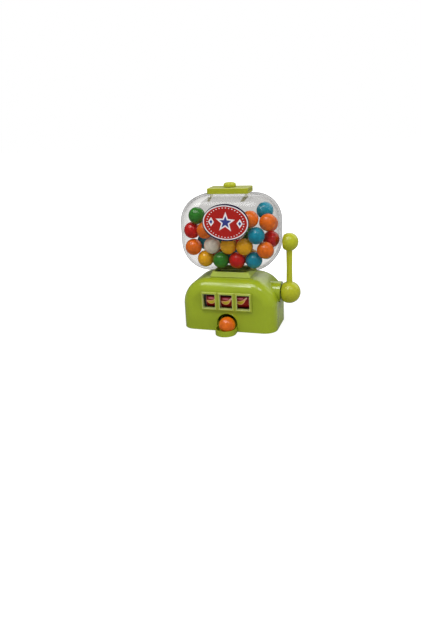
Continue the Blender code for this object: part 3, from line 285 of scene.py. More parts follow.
# %% [markdown]
# ## The floor
#
# The machine stands on a white sheet. A plain white surface alone would render grey wherever
# the lamps are weak, so part of what the camera sees of it is a plain white glow, and the rest
# is a real matt surface that keeps the soft contact shadow under the machine. The glow's part
# grows with the distance from the machine, until no horizon can be seen. What the machine
# mirrors of the sheet is dimmer, most of all in front, or its shiny front would look milky.

# %% Making the floor
FLOOR_REACH = 3.0
FLOOR_DROP = 0.15 * MM
GLOW = 1.45
NEAR_SHARE = 0.60
NEAR_RING = (0.05, 0.18)
DIM_EDGE = 0.02
DIM_FRONT, DIM_BACK = 0.95, 0.45
SHEET_GREY = (0.42, 0.42, 0.42, 1.0)
SHEET_ROUGHNESS = 0.8


def linked(name, mesh):
    piece = bpy.data.objects.new(name, mesh)
    bpy.context.scene.collection.objects.link(piece)
    return piece


def piece_from(name, work):
    mesh = bpy.data.meshes.new(name)
    work.to_mesh(mesh)
    work.free()
    return linked(name, mesh)


work = bmesh.new()
bmesh.ops.create_grid(work, x_segments=2, y_segments=2, size=FLOOR_REACH)
floor = piece_from("floor_sheet", work)
floor.location.z = -FLOOR_DROP
white_sheet, matt, spot = new_finish("white_sheet")
feed(matt, {"Base Color": SHEET_GREY, "Roughness": SHEET_ROUGHNESS})
glow, dim_grey = (
    matt.node("ShaderNodeEmission", inputs={"Strength": strength}) for strength in (GLOW, MIRRORED_LEVEL)
)
away = spot.node("ShaderNodeVectorMath", {"operation": "LENGTH"}, {0: spot}, output="Value")
seen = ray(matt, "Camera") * between(away, *NEAR_RING, NEAR_SHARE, 1.0, "LINEAR")
in_front = separate(spot)[1]
dimmed = ray(matt, "Glossy") * between(in_front, -DIM_EDGE, DIM_EDGE, DIM_FRONT, DIM_BACK, "LINEAR")
show(white_sheet, blended(dimmed, blended(seen, matt, glow), dim_grey))
floor.data.materials.append(white_sheet)
print("floor reach:", FLOOR_REACH, "m")

# %% [markdown]
# ## Coloured mouldings
#
# The base and the lever are dyed plastic straight from a polished mould. Such a surface isn't
# perfectly even: the dye flows a little unevenly, the gloss changes from patch to patch, and
# under a raking light it shows faint waves and a few handling scuffs. Each of these is a noise
# texture at its own real scale, in metres. Only the colour, the roughness and the normal vary.

# %% The moulded plastics
PLASTIC_IOR = 1.49
COAT_ROUGHNESS = 0.08


def moulded(name, colour, gloss, unevenness=0.07, polish_coat=0.0):
    finish, shader, place = new_finish(name)
    flow = noise(place, 22.0, detail=2.0)
    speck = noise(place, 0.8, detail=2.0)
    dye_mix = between(flow * 0.75 + speck * 0.25, 0.3, 0.7)
    scuffs = between(noise(place, 6.0, detail=6.0, rough=0.65), 0.58, 0.74)
    waves = noise(place, 9.0, detail=1.0) + noise(place, 0.35, detail=2.0) * 0.04
    dark, pale = shade_of(colour, 1 - unevenness), shade_of(colour, 1 + unevenness)
    feed(shader, {
        "Base Color": mix_colours(dye_mix, dark, pale),
        "Roughness": gloss + flow * 0.06 + scuffs * 0.10,
        "Normal": bumped(waves, 0.04, 0.4),
        "IOR": PLASTIC_IOR,
        "Coat Weight": polish_coat,
        "Coat Roughness": COAT_ROUGHNESS,
    })
    return finish


LIME = (0.285, 0.366, 0.015)
OLIVE_LIME = (0.390, 0.412, 0.016)
LID_LIME = (0.335, 0.360, 0.014)
FRAME_LIME = (0.330, 0.390, 0.034)
# Paler lime for the window frame's painted highlight, and darker lime for its painted shade.
EDGE_HIGHLIGHT_LIME = (0.450, 0.530, 0.200)
GROOVE_SHADE_LIME = (0.215, 0.265, 0.018)
# The seat is the same lime plastic as the base, painted paler: painted light on the seat under the globe.
SEAT_LIT_LIME = (0.400, 0.490, 0.070)
lime_moulding = moulded("lime_moulding", LIME, 0.17, polish_coat=0.45)
olive_moulding = moulded("olive_lime_moulding", OLIVE_LIME, 0.18)
seat_lit_moulding = moulded("seat_lit_moulding", SEAT_LIT_LIME, 0.20)
knob_moulding = moulded("knob_moulding", OLIVE_LIME, 0.36)
# UNDYED is the plain undyed plastic; its dark copy is painted shade for the side plates beside the reels.
UNDYED, SHADED_UNDYED = (0.72, 0.69, 0.61), (0.20, 0.19, 0.16)
natural_moulding = moulded("undyed_moulding", UNDYED, 0.42, 0.04)
shaded_plate_moulding = moulded("shaded_plate_moulding", SHADED_UNDYED, 0.42, 0.04)
print("moulded finishes:", lime_moulding.name, olive_moulding.name, natural_moulding.name)

# %% [markdown]
# ## Steel for the works
#
# The shafts, clips, screws and the spring are drawn steel. Drawing and turning leave fine lines
# round or along the piece, so the roughness follows a noise that is stretched along X, the way
# all the shafts run.

# %% Steel
def drawn_steel():
    finish, shader, place = new_finish("drawn_steel")
    stretch = place.node("ShaderNodeVectorMath", {"operation": "MULTIPLY"}, {0: place, 1: (0.08, 1.0, 1.0)})
    lines = noise(stretch, 0.5, detail=4.0)
    feed(shader, {
        "Base Color": mix_colours(lines, (0.52, 0.53, 0.55), (0.68, 0.69, 0.70)),
        "Roughness": 0.22 + lines * 0.2,
        "Normal": bumped(lines, 0.01, 0.4),
        "Metallic": 1.0,
    })
    return finish


steel = drawn_steel()
print("metal finish:", steel.name)

# %% [markdown]
# ## Finishes on the solids that stay
#
# Most inner pieces are right as they are, so they only get their finish. The solids are split
# by the record's material slots, which already say what each one is made of.

# %% Dressing the kept solids
finish_of_slot = {
    "lime_plastic": lime_moulding,
    "olive_lime_plastic": olive_moulding,
    "natural_plastic": natural_moulding,
    "steel": steel,
}
dressed = []
for entry in frame["record"]["subparts"]:
    name = entry["node"]
    # The side plates are undyed plastic, but wear its dark copy: painted shade.
    finish = shaded_plate_moulding if name.startswith("side_plate") else finish_of_slot.get(entry["material_slot"])
    if finish:
        nodes[name].data.materials.clear()
        nodes[name].data.materials.append(finish)
        dressed.append(name)
print("solids with a plain finish:", len(dressed), "of", len(nodes))

# %% [markdown]
# ## Helpers for the smooth pieces
#
# Three ways of making shape cover the whole machine. A block with rounded edges is a cube whose
# chosen edges are bevelled. A turned piece is a profile spun round an axis. And a hole is carved
# with a Boolean, which is applied at once so that no cutting tool stays in the scene.

# %% Working on a piece
SMOOTH_ANGLE = math.radians(35)


def carve(piece, tool, operation="DIFFERENCE"):
    step = piece.modifiers.new("carve", "BOOLEAN")
    step.operation = operation
    step.object = tool
    step.solver = "EXACT"
    settle(piece)
    bpy.data.objects.remove(tool, do_unlink=True)


def settle(piece):
    """Turns a piece's modifiers into plain mesh."""
    bpy.context.view_layer.update()
    graph = bpy.context.evaluated_depsgraph_get()
    made = bpy.data.meshes.new_from_object(piece.evaluated_get(graph))
    piece.modifiers.clear()
    piece.data = made


def soften(piece, width, segments=3, angle=45):
    """Rounds every edge that is sharper than the angle."""
    step = piece.modifiers.new("soft_edges", "BEVEL")
    step.width = width
    step.segments = segments
    step.limit_method = "ANGLE"
    step.angle_limit = math.radians(angle)
    settle(piece)


def polish(piece, angle=SMOOTH_ANGLE):
    """Smooth shading that keeps real edges and leaves flat faces flat."""
    piece.data.shade_smooth()
    piece.data.set_sharp_from_angle(angle=angle)
    normals = piece.modifiers.new("even_normals", "WEIGHTED_NORMAL")
    normals.keep_sharp = True


def dress(piece, finish, body, slot_name, *stands_for):
    piece.data.materials.clear()
    piece.data.materials.append(finish)
    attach(piece, body)
    if stands_for:
        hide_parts(*stands_for)


print("edges sharper than", round(math.degrees(SMOOTH_ANGLE)), "degrees stay sharp")

# %% Shape helpers
NEAR = 0.01 * MM


def bevel_edges(work, picked, width, segments):
    edges = [edge for edge in work.edges if picked(*edge.verts)]
    bmesh.ops.bevel(
        work, geom=edges, offset=width, offset_type="OFFSET", segments=segments,
        profile=0.5, affect="EDGES", clamp_overlap=False,
    )


def slab(name, low_rect, high_rect, low_z, high_z, corner, crown=0.0, steps=10):
    """A block with rounded upright edges and, if asked, a rounded top rim."""
    work = bmesh.new()
    bmesh.ops.create_cube(work, size=1)
    for vert in work.verts:
        x0, y0, x1, y1 = high_rect if vert.co.z > 0 else low_rect
        z = high_z if vert.co.z > 0 else low_z
        vert.co = (x1 if vert.co.x > 0 else x0, y1 if vert.co.y > 0 else y0, z)
    bevel_edges(work, lambda a, b: abs(a.co.z - b.co.z) > NEAR, corner, steps)
    if crown:
        bevel_edges(work, lambda a, b: min(a.co.z, b.co.z) > high_z - NEAR, crown, 4)
    return piece_from(name, work)


def block(name, low, high):
    work = bmesh.new()
    bmesh.ops.create_cube(work, size=1)
    bmesh.ops.scale(work, vec=Vector(high) - Vector(low), verts=work.verts)
    bmesh.ops.translate(work, vec=(Vector(high) + Vector(low)) / 2, verts=work.verts)
    return piece_from(name, work)


def rod(name, radius, start_x, end_x, height, sides=64):
    """A rod along X."""
    turned = Vector((1.0, 0.0, 0.0)).to_track_quat("Z", "Y").to_matrix().to_4x4()
    work = bmesh.new()
    bmesh.ops.create_cone(
        work, cap_ends=True, segments=sides, radius1=radius, radius2=radius, depth=end_x - start_x,
        matrix=Matrix.Translation(((start_x + end_x) / 2, 0.0, height)) @ turned,
    )
    return piece_from(name, work)


def spun(name, profile, sides=64):
    """Spins (radius, height) points round Z; the profile may start and end on the axis."""
    work = bmesh.new()
    rings = []
    for radius, height in profile:
        if radius < NEAR:
            rings.append([work.verts.new((0, 0, height))])
        else:
            turns = [2 * math.pi * side / sides for side in range(sides)]
            rings.append([
                work.verts.new((radius * math.cos(a), radius * math.sin(a), height)) for a in turns
            ])
    pairs = list(zip(rings, rings[1:]))
    if profile[0][0] > NEAR:
        pairs.append((rings[-1], rings[0]))
    for upper, lower in pairs:
        for side in range(sides):
            ring_a = [upper[side % len(upper)], upper[(side + 1) % len(upper)]]
            ring_b = [lower[(side + 1) % len(lower)], lower[side % len(lower)]]
            corners = list(dict.fromkeys(ring_a + ring_b))
            if len(corners) > 2:
                work.faces.new(corners)
    bmesh.ops.recalc_face_normals(work, faces=work.faces)
    return piece_from(name, work)


def arc_points(radius, start_deg, end_deg, count, centre=(0.0, 0.0)):
    angles = np.radians(np.linspace(start_deg, end_deg, count))
    return [(centre[0] + radius * math.cos(a), centre[1] + radius * math.sin(a)) for a in angles]


print("points nearer than", round(NEAR / MM, 3), "mm count as one")

# %% [markdown]
# ## The base
#
# The base is a hollow shell with a round-shouldered front. Its outer form is a block: the two
# top side edges get a wide rounding, and then the whole front and back outlines a smaller one.
# The boss on the lever's side is a tube that grows out of the shoulder. The shell is made in
# the same steps as the solid it stands for, only finer, so that the long reflection along its
# front edge runs without kinks.

# %% The base shell
WALL = 2.0 * MM
SHOULDER = 24.2 * MM
FACE_ROUND = 11.0 * MM
base_low, base_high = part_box("base_housing")
BASE_HALF = (-base_low[0], base_high[1])
BASE_TOP = base_high[2]
LEVER_AXIS = 31.05 * MM
BOSS_RADIUS = 9.2 * MM
BOSS_WALL = 1.8 * MM
BUSH_HOLE = 4.05 * MM
SIDE_PLATE_OUTER = 22.7 * MM


def shouldered(name, inset, low):
    half_x, half_y = BASE_HALF[0] - inset, BASE_HALF[1] - inset
    high = BASE_TOP - inset
    work = bmesh.new()
    bmesh.ops.create_cube(work, size=2)
    for vert in work.verts:
        vert.co = (half_x * vert.co.x, half_y * vert.co.y, high if vert.co.z > 0 else low)
    bevel_edges(
        work, lambda a, b: min(a.co.z, b.co.z) > high - NEAR and abs(a.co.y - b.co.y) > NEAR,
        SHOULDER - inset, 22,
    )
    bevel_edges(
        work, lambda a, b: abs(a.co.y - b.co.y) < NEAR and max(a.co.z, b.co.z) > low + NEAR,
        FACE_ROUND - inset, 12,
    )
    return piece_from(name, work)


base_shell = shouldered("base_shell", 0.0, 0.0)
carve(base_shell, rod("boss", BOSS_RADIUS, 0.0, base_high[0], LEVER_AXIS, 96), "UNION")
carve(base_shell, shouldered("hollow", WALL, -2 * WALL))
boss_room, boss_end = BOSS_RADIUS - BOSS_WALL, base_high[0] - BOSS_WALL
carve(base_shell, rod("boss_inside", boss_room, SIDE_PLATE_OUTER, boss_end, LEVER_AXIS))
carve(base_shell, rod("bush_seat", BUSH_HOLE, SIDE_PLATE_OUTER, base_high[0] + WALL, LEVER_AXIS))
print("base shell:", len(base_shell.data.polygons), "faces")

# %% The window and chute openings in the base
WINDOW = (11.1 * MM, 12.9 * MM)
WINDOW_PITCH = 15.4 * MM
WINDOW_HEIGHT = 27.55 * MM
SPIGOT_WALL = 0.8 * MM
CLEAR = 0.3 * MM
ARCH_HALF = 9.4 * MM
ARCH_TOP = 16.5 * MM

tongue_x = WINDOW_PITCH + WINDOW[0] / 2 + SPIGOT_WALL + CLEAR
tongue_z = WINDOW[1] / 2 + SPIGOT_WALL + CLEAR
front = -BASE_HALF[1]
carve(base_shell, block(
    "frame_seat", (-tongue_x, front - WALL, WINDOW_HEIGHT - tongue_z),
    (tongue_x, front + 3 * WALL, WINDOW_HEIGHT + tongue_z),
))


def upright_plate(name, outline, y_low, y_high):
    """An outline in X and Z, given thickness along Y."""
    work = bmesh.new()
    face = work.faces.new([work.verts.new((x, y_low, z)) for x, z in outline])
    grown = bmesh.ops.extrude_face_region(work, geom=[face])
    moved = [item for item in grown["geom"] if isinstance(item, bmesh.types.BMVert)]
    bmesh.ops.translate(work, vec=(0, y_high - y_low, 0), verts=moved)
    bmesh.ops.recalc_face_normals(work, faces=work.faces)
    return piece_from(name, work)


arch_outline = arc_points(ARCH_HALF, 0, 180, 41, (0.0, ARCH_TOP - ARCH_HALF))
arch_outline += [(-ARCH_HALF, -WALL), (ARCH_HALF, -WALL)]
carve(base_shell, upright_plate("arch", arch_outline, front - WALL, front + 2 * WALL))
THROAT_HALF = 12.9 * MM
THROAT_FRONT = -7.9 * MM
THROAT_BORDER = 1.5 * MM
funnel = nodes["feed_throat"]
funnel_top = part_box("feed_throat")[1][2]
funnel_points = [funnel.matrix_world @ vert.co for vert in funnel.data.vertices]
throat_back = max(point.y for point in funnel_points if point.z > funnel_top - NEAR) - THROAT_BORDER
throat_rect = (-THROAT_HALF, THROAT_FRONT, THROAT_HALF, throat_back)
carve(base_shell, slab("throat", throat_rect, throat_rect, BASE_TOP - 3 * WALL, BASE_TOP + WALL, 4 * MM))
polish(base_shell)
dress(base_shell, lime_moulding, "machine", "lime_plastic", "base_housing")
print("base openings cut, faces:", len(base_shell.data.polygons))

# %% [markdown]
# ## The arch's bead
#
# The edge of the chute's mouth catches the light as a thin pale line: the mould leaves a small
# rounded bead there. A curve with a round section follows the arch, half sunk in the front.

# %% The bead round the chute's mouth
BEAD = 0.45 * MM
BEAD_OUT = BEAD * 0.4
BEAD_FOOT = 0.4 * MM
bead_path = arc_points(ARCH_HALF + BEAD_OUT, 0, 180, 41, (0.0, ARCH_TOP - ARCH_HALF))
bead_path = [(ARCH_HALF + BEAD_OUT, BEAD_FOOT)] + bead_path + [(-ARCH_HALF - BEAD_OUT, BEAD_FOOT)]
curve = bpy.data.curves.new("arch_bead", "CURVE")
curve.dimensions = "3D"
curve.bevel_depth = BEAD
curve.bevel_resolution = 3
curve.use_fill_caps = True
spline = curve.splines.new("POLY")
spline.points.add(len(bead_path) - 1)
for point, (x, z) in zip(spline.points, bead_path):
    point.co = (x, front + BEAD * 0.35, z, 1.0)
guide = linked("arch_bead_guide", curve)
bpy.context.view_layer.update()
mesh = bpy.data.meshes.new_from_object(guide.evaluated_get(bpy.context.evaluated_depsgraph_get()))
bpy.data.objects.remove(guide, do_unlink=True)
arch_bead = linked("arch_bead", mesh)
polish(arch_bead, math.radians(60))
dress(arch_bead, lime_moulding, "machine", "lime_plastic")
print("bead radius:", round(BEAD / MM, 2), "mm")

# %% [markdown]
# ## The window frame
#
# One moulding frames the three reels: a flat plate with a narrow raised rim round each opening
# and a groove between neighbours. Plate and rims are separate softened blocks joined in one,
# and then the openings are cut through all of it. Behind the plate is one hollow room, so that
# a look past a window's edge meets darkness and not a bright green wall. The openings' edges
# are softened as well, and that soft edge catches a fine pale line round each one. The finish
# adds a painted highlight along that line, and painted shade in the grooves between the rims.

# %% The frame's finish
# How far the painted highlight reaches from an opening's edge, and the painted shade from a groove's
# middle.
EDGE_HIGHLIGHT_OUT, EDGE_HIGHLIGHT_IN = 0.55 * MM, 0.15 * MM
GROOVE_SHADE_OUT, GROOVE_SHADE_IN = 0.45 * MM, 0.15 * MM


def frame_finish(opening, pitch, height):
    """Lime plastic, with a painted highlight along each opening's edge and painted shade in the grooves
    between rims.
    """
    finish = moulded("window_frame_moulding", FRAME_LIME, 0.20, polish_coat=0.3)
    shader, dye = dye_of(finish)
    place = object_place(dye)
    x, _, z = separate(place)
    aside = abs(x.maths("WRAP", x, pitch / 2, -pitch / 2))
    past_edge = aside.maths("MAXIMUM", aside - opening[0] / 2, abs(z - height) - opening[1] / 2)
    # A pale line along each opening's edge, broken up by noise: a painted highlight.
    edge_highlight = between(past_edge, EDGE_HIGHLIGHT_OUT, EDGE_HIGHLIGHT_IN) * (0.55 + noise(place, 1.2) * 0.5)
    # Darker lime in the groove between neighbouring rims: painted shade.
    groove_shade = between(aside, pitch / 2 - GROOVE_SHADE_OUT, pitch / 2 - GROOVE_SHADE_IN) * 0.8
    colour = mix_colours(edge_highlight, dye, EDGE_HIGHLIGHT_LIME)
    feed(shader, {"Base Color": mix_colours(groove_shade, colour, GROOVE_SHADE_LIME)})
    return finish


frame_moulding = frame_finish(WINDOW, WINDOW_PITCH, WINDOW_HEIGHT)
print("frame finish:", frame_moulding.name)

# %% The window surround
frame_low, frame_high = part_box("window_frame")
RIM = 1.5 * MM
RIM_RISE = 0.6 * MM
plate_front = frame_low[1] + RIM_RISE
plate_back = front - CLEAR
surround = block("window_surround", (frame_low[0], plate_front, frame_low[2]),
                 (frame_high[0], plate_back, frame_high[2]))
soften(surround, 0.5 * MM)
tongue = block(
    "tongue", (-tongue_x + CLEAR, plate_front + RIM_RISE, WINDOW_HEIGHT - tongue_z + CLEAR),
    (tongue_x - CLEAR, frame_high[1], WINDOW_HEIGHT + tongue_z - CLEAR),
)
carve(surround, tongue, "UNION")
middles = [step * WINDOW_PITCH for step in (-1, 0, 1)]
view_low, view_high = WINDOW_HEIGHT - WINDOW[1] / 2, WINDOW_HEIGHT + WINDOW[1] / 2
for x in middles:
    rim = block("rim", (x - WINDOW[0] / 2 - RIM, frame_low[1], view_low - RIM),
                (x + WINDOW[0] / 2 + RIM, plate_front + RIM_RISE, view_high + RIM))
    soften(rim, 0.55 * MM)
    carve(surround, rim, "UNION")
for x in middles:
    carve(surround, block("view", (x - WINDOW[0] / 2, frame_low[1] - WALL, view_low),
                          (x + WINDOW[0] / 2, frame_high[1] + WALL, view_high)))
room_x = tongue_x - CLEAR - SPIGOT_WALL
carve(surround, block("frame_room", (-room_x, plate_back, view_low),
                      (room_x, frame_high[1] + WALL, view_high)))
soften(surround, 0.22 * MM, 2, 60)
polish(surround)
dress(surround, frame_moulding, "machine", "lime_plastic", "window_frame")
print("window surround:", len(surround.data.polygons), "faces")

# %% [markdown]
# ## The seat under the globe
#
# A low trapezoid block plugs the globe onto the base. Its top rim is rounded, and a pocket in
# it takes the globe's neck.

# %% The globe seat
seat_low, seat_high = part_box("globe_seat")
SEAT_SLOPE = 1.6 * MM
SEAT_TOP_HALF = 16.2 * MM
NECK = (29.0 * MM, 19.0 * MM)
NECK_ROUND = 4.0 * MM
seat_block = slab(
    "seat_block", (seat_low[0], seat_low[1], seat_high[0], seat_high[1]),
    (-SEAT_TOP_HALF, seat_low[1] + SEAT_SLOPE, SEAT_TOP_HALF, seat_high[1] - SEAT_SLOPE),
    seat_low[2], seat_high[2], 2.0 * MM, 0.6 * MM,
)
globe_low, globe_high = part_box("globe")


def centred(width, depth):
    return (-width / 2, -depth / 2, width / 2, depth / 2)


pocket = centred(NECK[0] + 2 * CLEAR, NECK[1] + 2 * CLEAR)
pocket_top = seat_high[2] + WALL
carve(seat_block, slab("neck_pocket", pocket, pocket, globe_low[2] - CLEAR, pocket_top, NECK_ROUND))
carve(seat_block, slab("seat_hole", throat_rect, throat_rect, seat_low[2] - WALL, globe_low[2], NECK_ROUND))
polish(seat_block)
# The seat wears the paler copy of the lime plastic, which is painted light.
dress(seat_block, seat_lit_moulding, "machine", "lime_plastic", "globe_seat")
print("seat top:", round(seat_high[2] / MM, 1), "mm")

# %% [markdown]
# ## Clear plastic
#
# A clear moulding shows mostly what is behind it, a little greyed by each face of the wall that
# the light goes through. Light that meets it head on passes, and light that grazes it takes a
# long way through the wall, so the outline turns darker grey. Mix Shaders between Transparent
# shaders and a mirror do this cheaply and without the dark fringes that a refracting shell of
# uneven thickness gives. The mirror's share rises towards grazing angles, as on real plastic.
# The outer face greys only what the camera sees, so that light reaches the gumballs inside.

# %% The clear wall
HEAD_ON = (0.80, 0.795, 0.785)
BACK_WALL = (0.54, 0.535, 0.525)
GRAZING = (0.26, 0.255, 0.26)
INNER_GRAZING = (0.42, 0.42, 0.42)
INNER_FACE = (0.98, 0.98, 0.98)
HAZY_FACE = (0.95, 0.95, 0.95)
MIRROR_DULL, MIRROR_PALE = (0.86, 0.86, 0.85), (0.94, 0.94, 0.94)


def see_through(shader, colour):
    return shader.node("ShaderNodeBsdfTransparent", inputs={"Color": (*colour, 1.0)})


def facing_of(shader):
    """0 where a face is seen head on and 1 where it is seen along its surface."""
    return shader.node("ShaderNodeLayerWeight", inputs={"Blend": 0.5}, output="Facing")


def clear_inside():
    """The wall's inner face: almost clear, and grey only where it is seen along its surface."""
    finish, shader, place = new_finish("clear_inside")
    haze = noise(place, 14.0, detail=2.0)
    clear = blended(haze, see_through(shader, INNER_FACE), see_through(shader, HAZY_FACE))
    return show(finish, blended(facing_of(shader) ** 8.0, clear, see_through(shader, INNER_GRAZING)))


def clear_wall(name, head_on, grazing, mirror):
    """The wall's outer face, greyed by its facing and with a mirror's share on top."""
    finish, shader, place = new_finish(name)
    haze = noise(place, 14.0, detail=4.0)
    scuffs = between(noise(place, 2.5, detail=8.0, rough=0.7), 0.62, 0.80)
    feed(shader, {
        "Base Color": mix_colours(haze, MIRROR_DULL, MIRROR_PALE),
        "Metallic": 1.0,
        "Roughness": 0.20 + haze * 0.03 + scuffs * 0.02,
        "Normal": bumped(noise(place, 16.0, detail=1.0), 0.01, 0.15),
    })
    facing = facing_of(shader)
    greyed = blended(facing ** 4.0, see_through(shader, head_on), see_through(shader, grazing))
    passing = blended(ray(shader, "Camera"), see_through(shader, INNER_FACE), greyed)
    share = mirror + (facing ** 5.0) * 0.30 + scuffs * 0.006
    return show(finish, blended(share, passing, shader))


clear_plastic = clear_wall("clear_moulding", HEAD_ON, GRAZING, 0.040)
clear_back = clear_wall("clear_back", BACK_WALL, GRAZING, 0.030)
inner_face = clear_inside()
print("clear walls:", clear_plastic.name, clear_back.name, inner_face.name)

# %% The clear skirt
RIB_FEET = (-17.0 * MM, 13.9 * MM)
RIB_LOW = 112.2 * MM
RIB_LEAN = 0.72
RIB_HALF = 1.6 * MM
RIB_TINT = (0.64, 0.63, 0.50)


def clear_skirt():
    """The fill skirt: almost unseen, but two slanted ribs in front gather the lid's colour."""
    finish, shader, place = new_finish("clear_skirt")
    x, y, z = separate(place)
    left, right = (abs(x - foot - (z - RIB_LOW) * RIB_LEAN) for foot in RIB_FEET)
    ribs = between(left.maths("MINIMUM", left, right), RIB_HALF * 1.3, RIB_HALF * 0.8)
    ribs = ribs * between(y, -2.0 * MM, -4.0 * MM) * (0.85 + noise(place, 4.0) * 0.2)
    passing = blended(ribs, see_through(shader, INNER_FACE), see_through(shader, RIB_TINT))
    feed(shader, {
        "Base Color": mix_colours(noise(place, 5.0), MIRROR_DULL, MIRROR_PALE),
        "Metallic": 1.0,
        "Roughness": 0.05 + noise(place, 2.5) * 0.05,
    })
    return show(finish, blended(0.01 + ribs * 0.03, passing, shader))


skirt_finish = clear_skirt()
print("clear skirt:", skirt_finish.name)

# %% [markdown]
# ## The globe
#
# The globe is a pillow: a wide block whose outline is rounded by more than 20 mm at the top and
# the bottom, and whose front and back edges are rounded with an ellipse that is deeper than it
# is high. It is bevelled as a block of less depth and then stretched, which turns the round
# edge into that ellipse. Solidify gives it an even wall, and the neck and the flared skirt
# under the lid are joined on.

# %% The globe shell
GLOBE_BOTTOM = 50.85 * MM
GLOBE_HEIGHT = 65.7 * MM
GLOBE_TOP = GLOBE_BOTTOM + GLOBE_HEIGHT
TOP_ROUND = 23.4 * MM
LOW_ROUND = 25.5 * MM
EDGE_ROUND = 11.0 * MM
EDGE_DEPTH = 16.0 * MM
GLOBE_WALL = 1.6 * MM
FILL = (32.0 * MM, 14.9 * MM)
FILL_SKIRT = 6.0 * MM
FLARE = 2.0 * MM
FILL_ROUND = 3.0 * MM

squeeze = EDGE_ROUND / EDGE_DEPTH
globe_half = (globe_high[0], globe_high[1] * squeeze)
work = bmesh.new()
bmesh.ops.create_cube(work, size=2)
for vert in work.verts:
    height = GLOBE_TOP if vert.co.z > 0 else GLOBE_BOTTOM
    vert.co = (globe_half[0] * vert.co.x, globe_half[1] * vert.co.y, height)
for edge_z, radius in ((GLOBE_TOP, TOP_ROUND), (GLOBE_BOTTOM, LOW_ROUND)):
    bevel_edges(
        work,
        lambda a, b: abs(a.co.z - edge_z) < NEAR and abs(b.co.z - edge_z) < NEAR
        and abs(abs(a.co.x) - globe_half[0]) < NEAR and abs(a.co.y - b.co.y) > NEAR,
        radius, 20,
    )
bevel_edges(work, lambda a, b: abs(a.co.y - b.co.y) < NEAR, EDGE_ROUND, 14)
bmesh.ops.scale(work, vec=(1, 1 / squeeze, 1), verts=work.verts)
globe_shell = piece_from("globe_shell", work)
wall = globe_shell.modifiers.new("wall", "SOLIDIFY")
wall.thickness = GLOBE_WALL
wall.offset = -1
wall.use_even_offset = True
wall.material_offset = 1
globe_shell.data.materials.append(clear_plastic)
globe_shell.data.materials.append(inner_face)
settle(globe_shell)
print("globe shell:", len(globe_shell.data.polygons), "faces")

# %% The neck and the fill skirt
neck = centred(*NECK)
carve(globe_shell, slab("neck", neck, neck, globe_low[2], GLOBE_BOTTOM + GLOBE_WALL, NECK_ROUND), "UNION")
bore = centred(NECK[0] - 2 * GLOBE_WALL, NECK[1] - 2 * GLOBE_WALL)
bore_round = NECK_ROUND - GLOBE_WALL
carve(globe_shell, slab("bore", bore, bore, globe_low[2] - WALL, GLOBE_BOTTOM + 2 * WALL, bore_round))
mouth = centred(FILL[0] + 2 * GLOBE_WALL, FILL[1] + 2 * GLOBE_WALL)
flared = centred(FILL[0] + 2 * GLOBE_WALL + FLARE, FILL[1] + 2 * GLOBE_WALL + FLARE)
skirt_low = globe_high[2] - FILL_SKIRT
carve(globe_shell, slab("skirt", flared, mouth, skirt_low, globe_high[2], FILL_ROUND + GLOBE_WALL), "UNION")
wide = centred(FILL[0] + FLARE, FILL[1] + FLARE)
narrow = centred(*FILL)
carve(globe_shell, slab("fill", wide, narrow, skirt_low - NEAR, globe_high[2] + NEAR, FILL_ROUND))
polish(globe_shell)
face_sides = [face.material_index for face in globe_shell.data.polygons]
dress(globe_shell, clear_plastic, "machine", "clear_plastic", "globe")
for extra in (inner_face, skirt_finish, clear_back):
    globe_shell.data.materials.append(extra)
BACKWARD = 0.7
for face, side in zip(globe_shell.data.polygons, face_sides):
    x, y, z = face.center
    on_skirt = (skirt_low - NEAR < z < GLOBE_TOP - GLOBE_WALL - NEAR
                and abs(x) < flared[2] + NEAR and abs(y) < flared[3] + NEAR)
    outer_index = 3 if face.normal.y > BACKWARD and y > 0 else 0
    face.material_index = 2 if on_skirt else outer_index if side == 0 else side
print("globe with neck and skirt:", len(globe_shell.data.polygons), "faces")

# %% [markdown]
# ## The gumballs
#
# A gumball is a sugar shell that is tumbled until it shines. It is never quite round, its dye
# is a little mottled, and the glaze is thinner on the high spots. Each ball keeps the place of
# its solid. A slow wave over the sphere makes it slightly uneven, and the finish carries the
# mottling, a fine pitted surface and a thin coat.

# %% The sugar shell finish
GUM_COLOURS = {
    "gum_blue": (0.003, 0.270, 0.390),
    "gum_green": (0.032, 0.235, 0.020),
    "gum_red": (0.640, 0.008, 0.004),
    "gum_orange": (0.880, 0.165, 0.004),
    "gum_yellow": (0.930, 0.440, 0.004),
    "gum_white": (0.790, 0.710, 0.590),
}


def sugar_shell(name, colour):
    finish, shader, place = new_finish(name)
    mottle = noise(place, 4.0, detail=4.0, rough=0.6)
    pale = between(mottle, 0.42, 0.72)
    pits = noise(place, 0.9, detail=3.0) * 0.6 + noise(place, 3.5, detail=2.0)
    feed(shader, {
        "Base Color": mix_colours(pale, shade_of(colour, 0.88), shade_of(colour, 1.15)),
        "Roughness": 0.17 + mottle * 0.10,
        "Normal": bumped(pits, 0.08, 0.45),
        "Coat Weight": 0.30,
        "Coat Roughness": 0.10,
    })
    return finish


gum_finish = {slot: sugar_shell(slot + "_shell", colour) for slot, colour in GUM_COLOURS.items()}
# The ball in the chute's mouth has the same orange, darkened: painted shade for the shade it sits in.
CHUTE_PAINTED_SHADE = 0.72
shaded_chute_finish = sugar_shell("shaded_chute_ball_shell", shade_of(GUM_COLOURS["gum_orange"], CHUTE_PAINTED_SHADE))
print("sugar shells:", sorted(gum_finish))

# %% Making the gumballs
BALL_RADIUS = 7.25 * MM
UNEVEN = 0.010
BALL_SPIN = 1.7
SPIN_AXIS = Vector((1, 0.6, 0.3)).normalized()


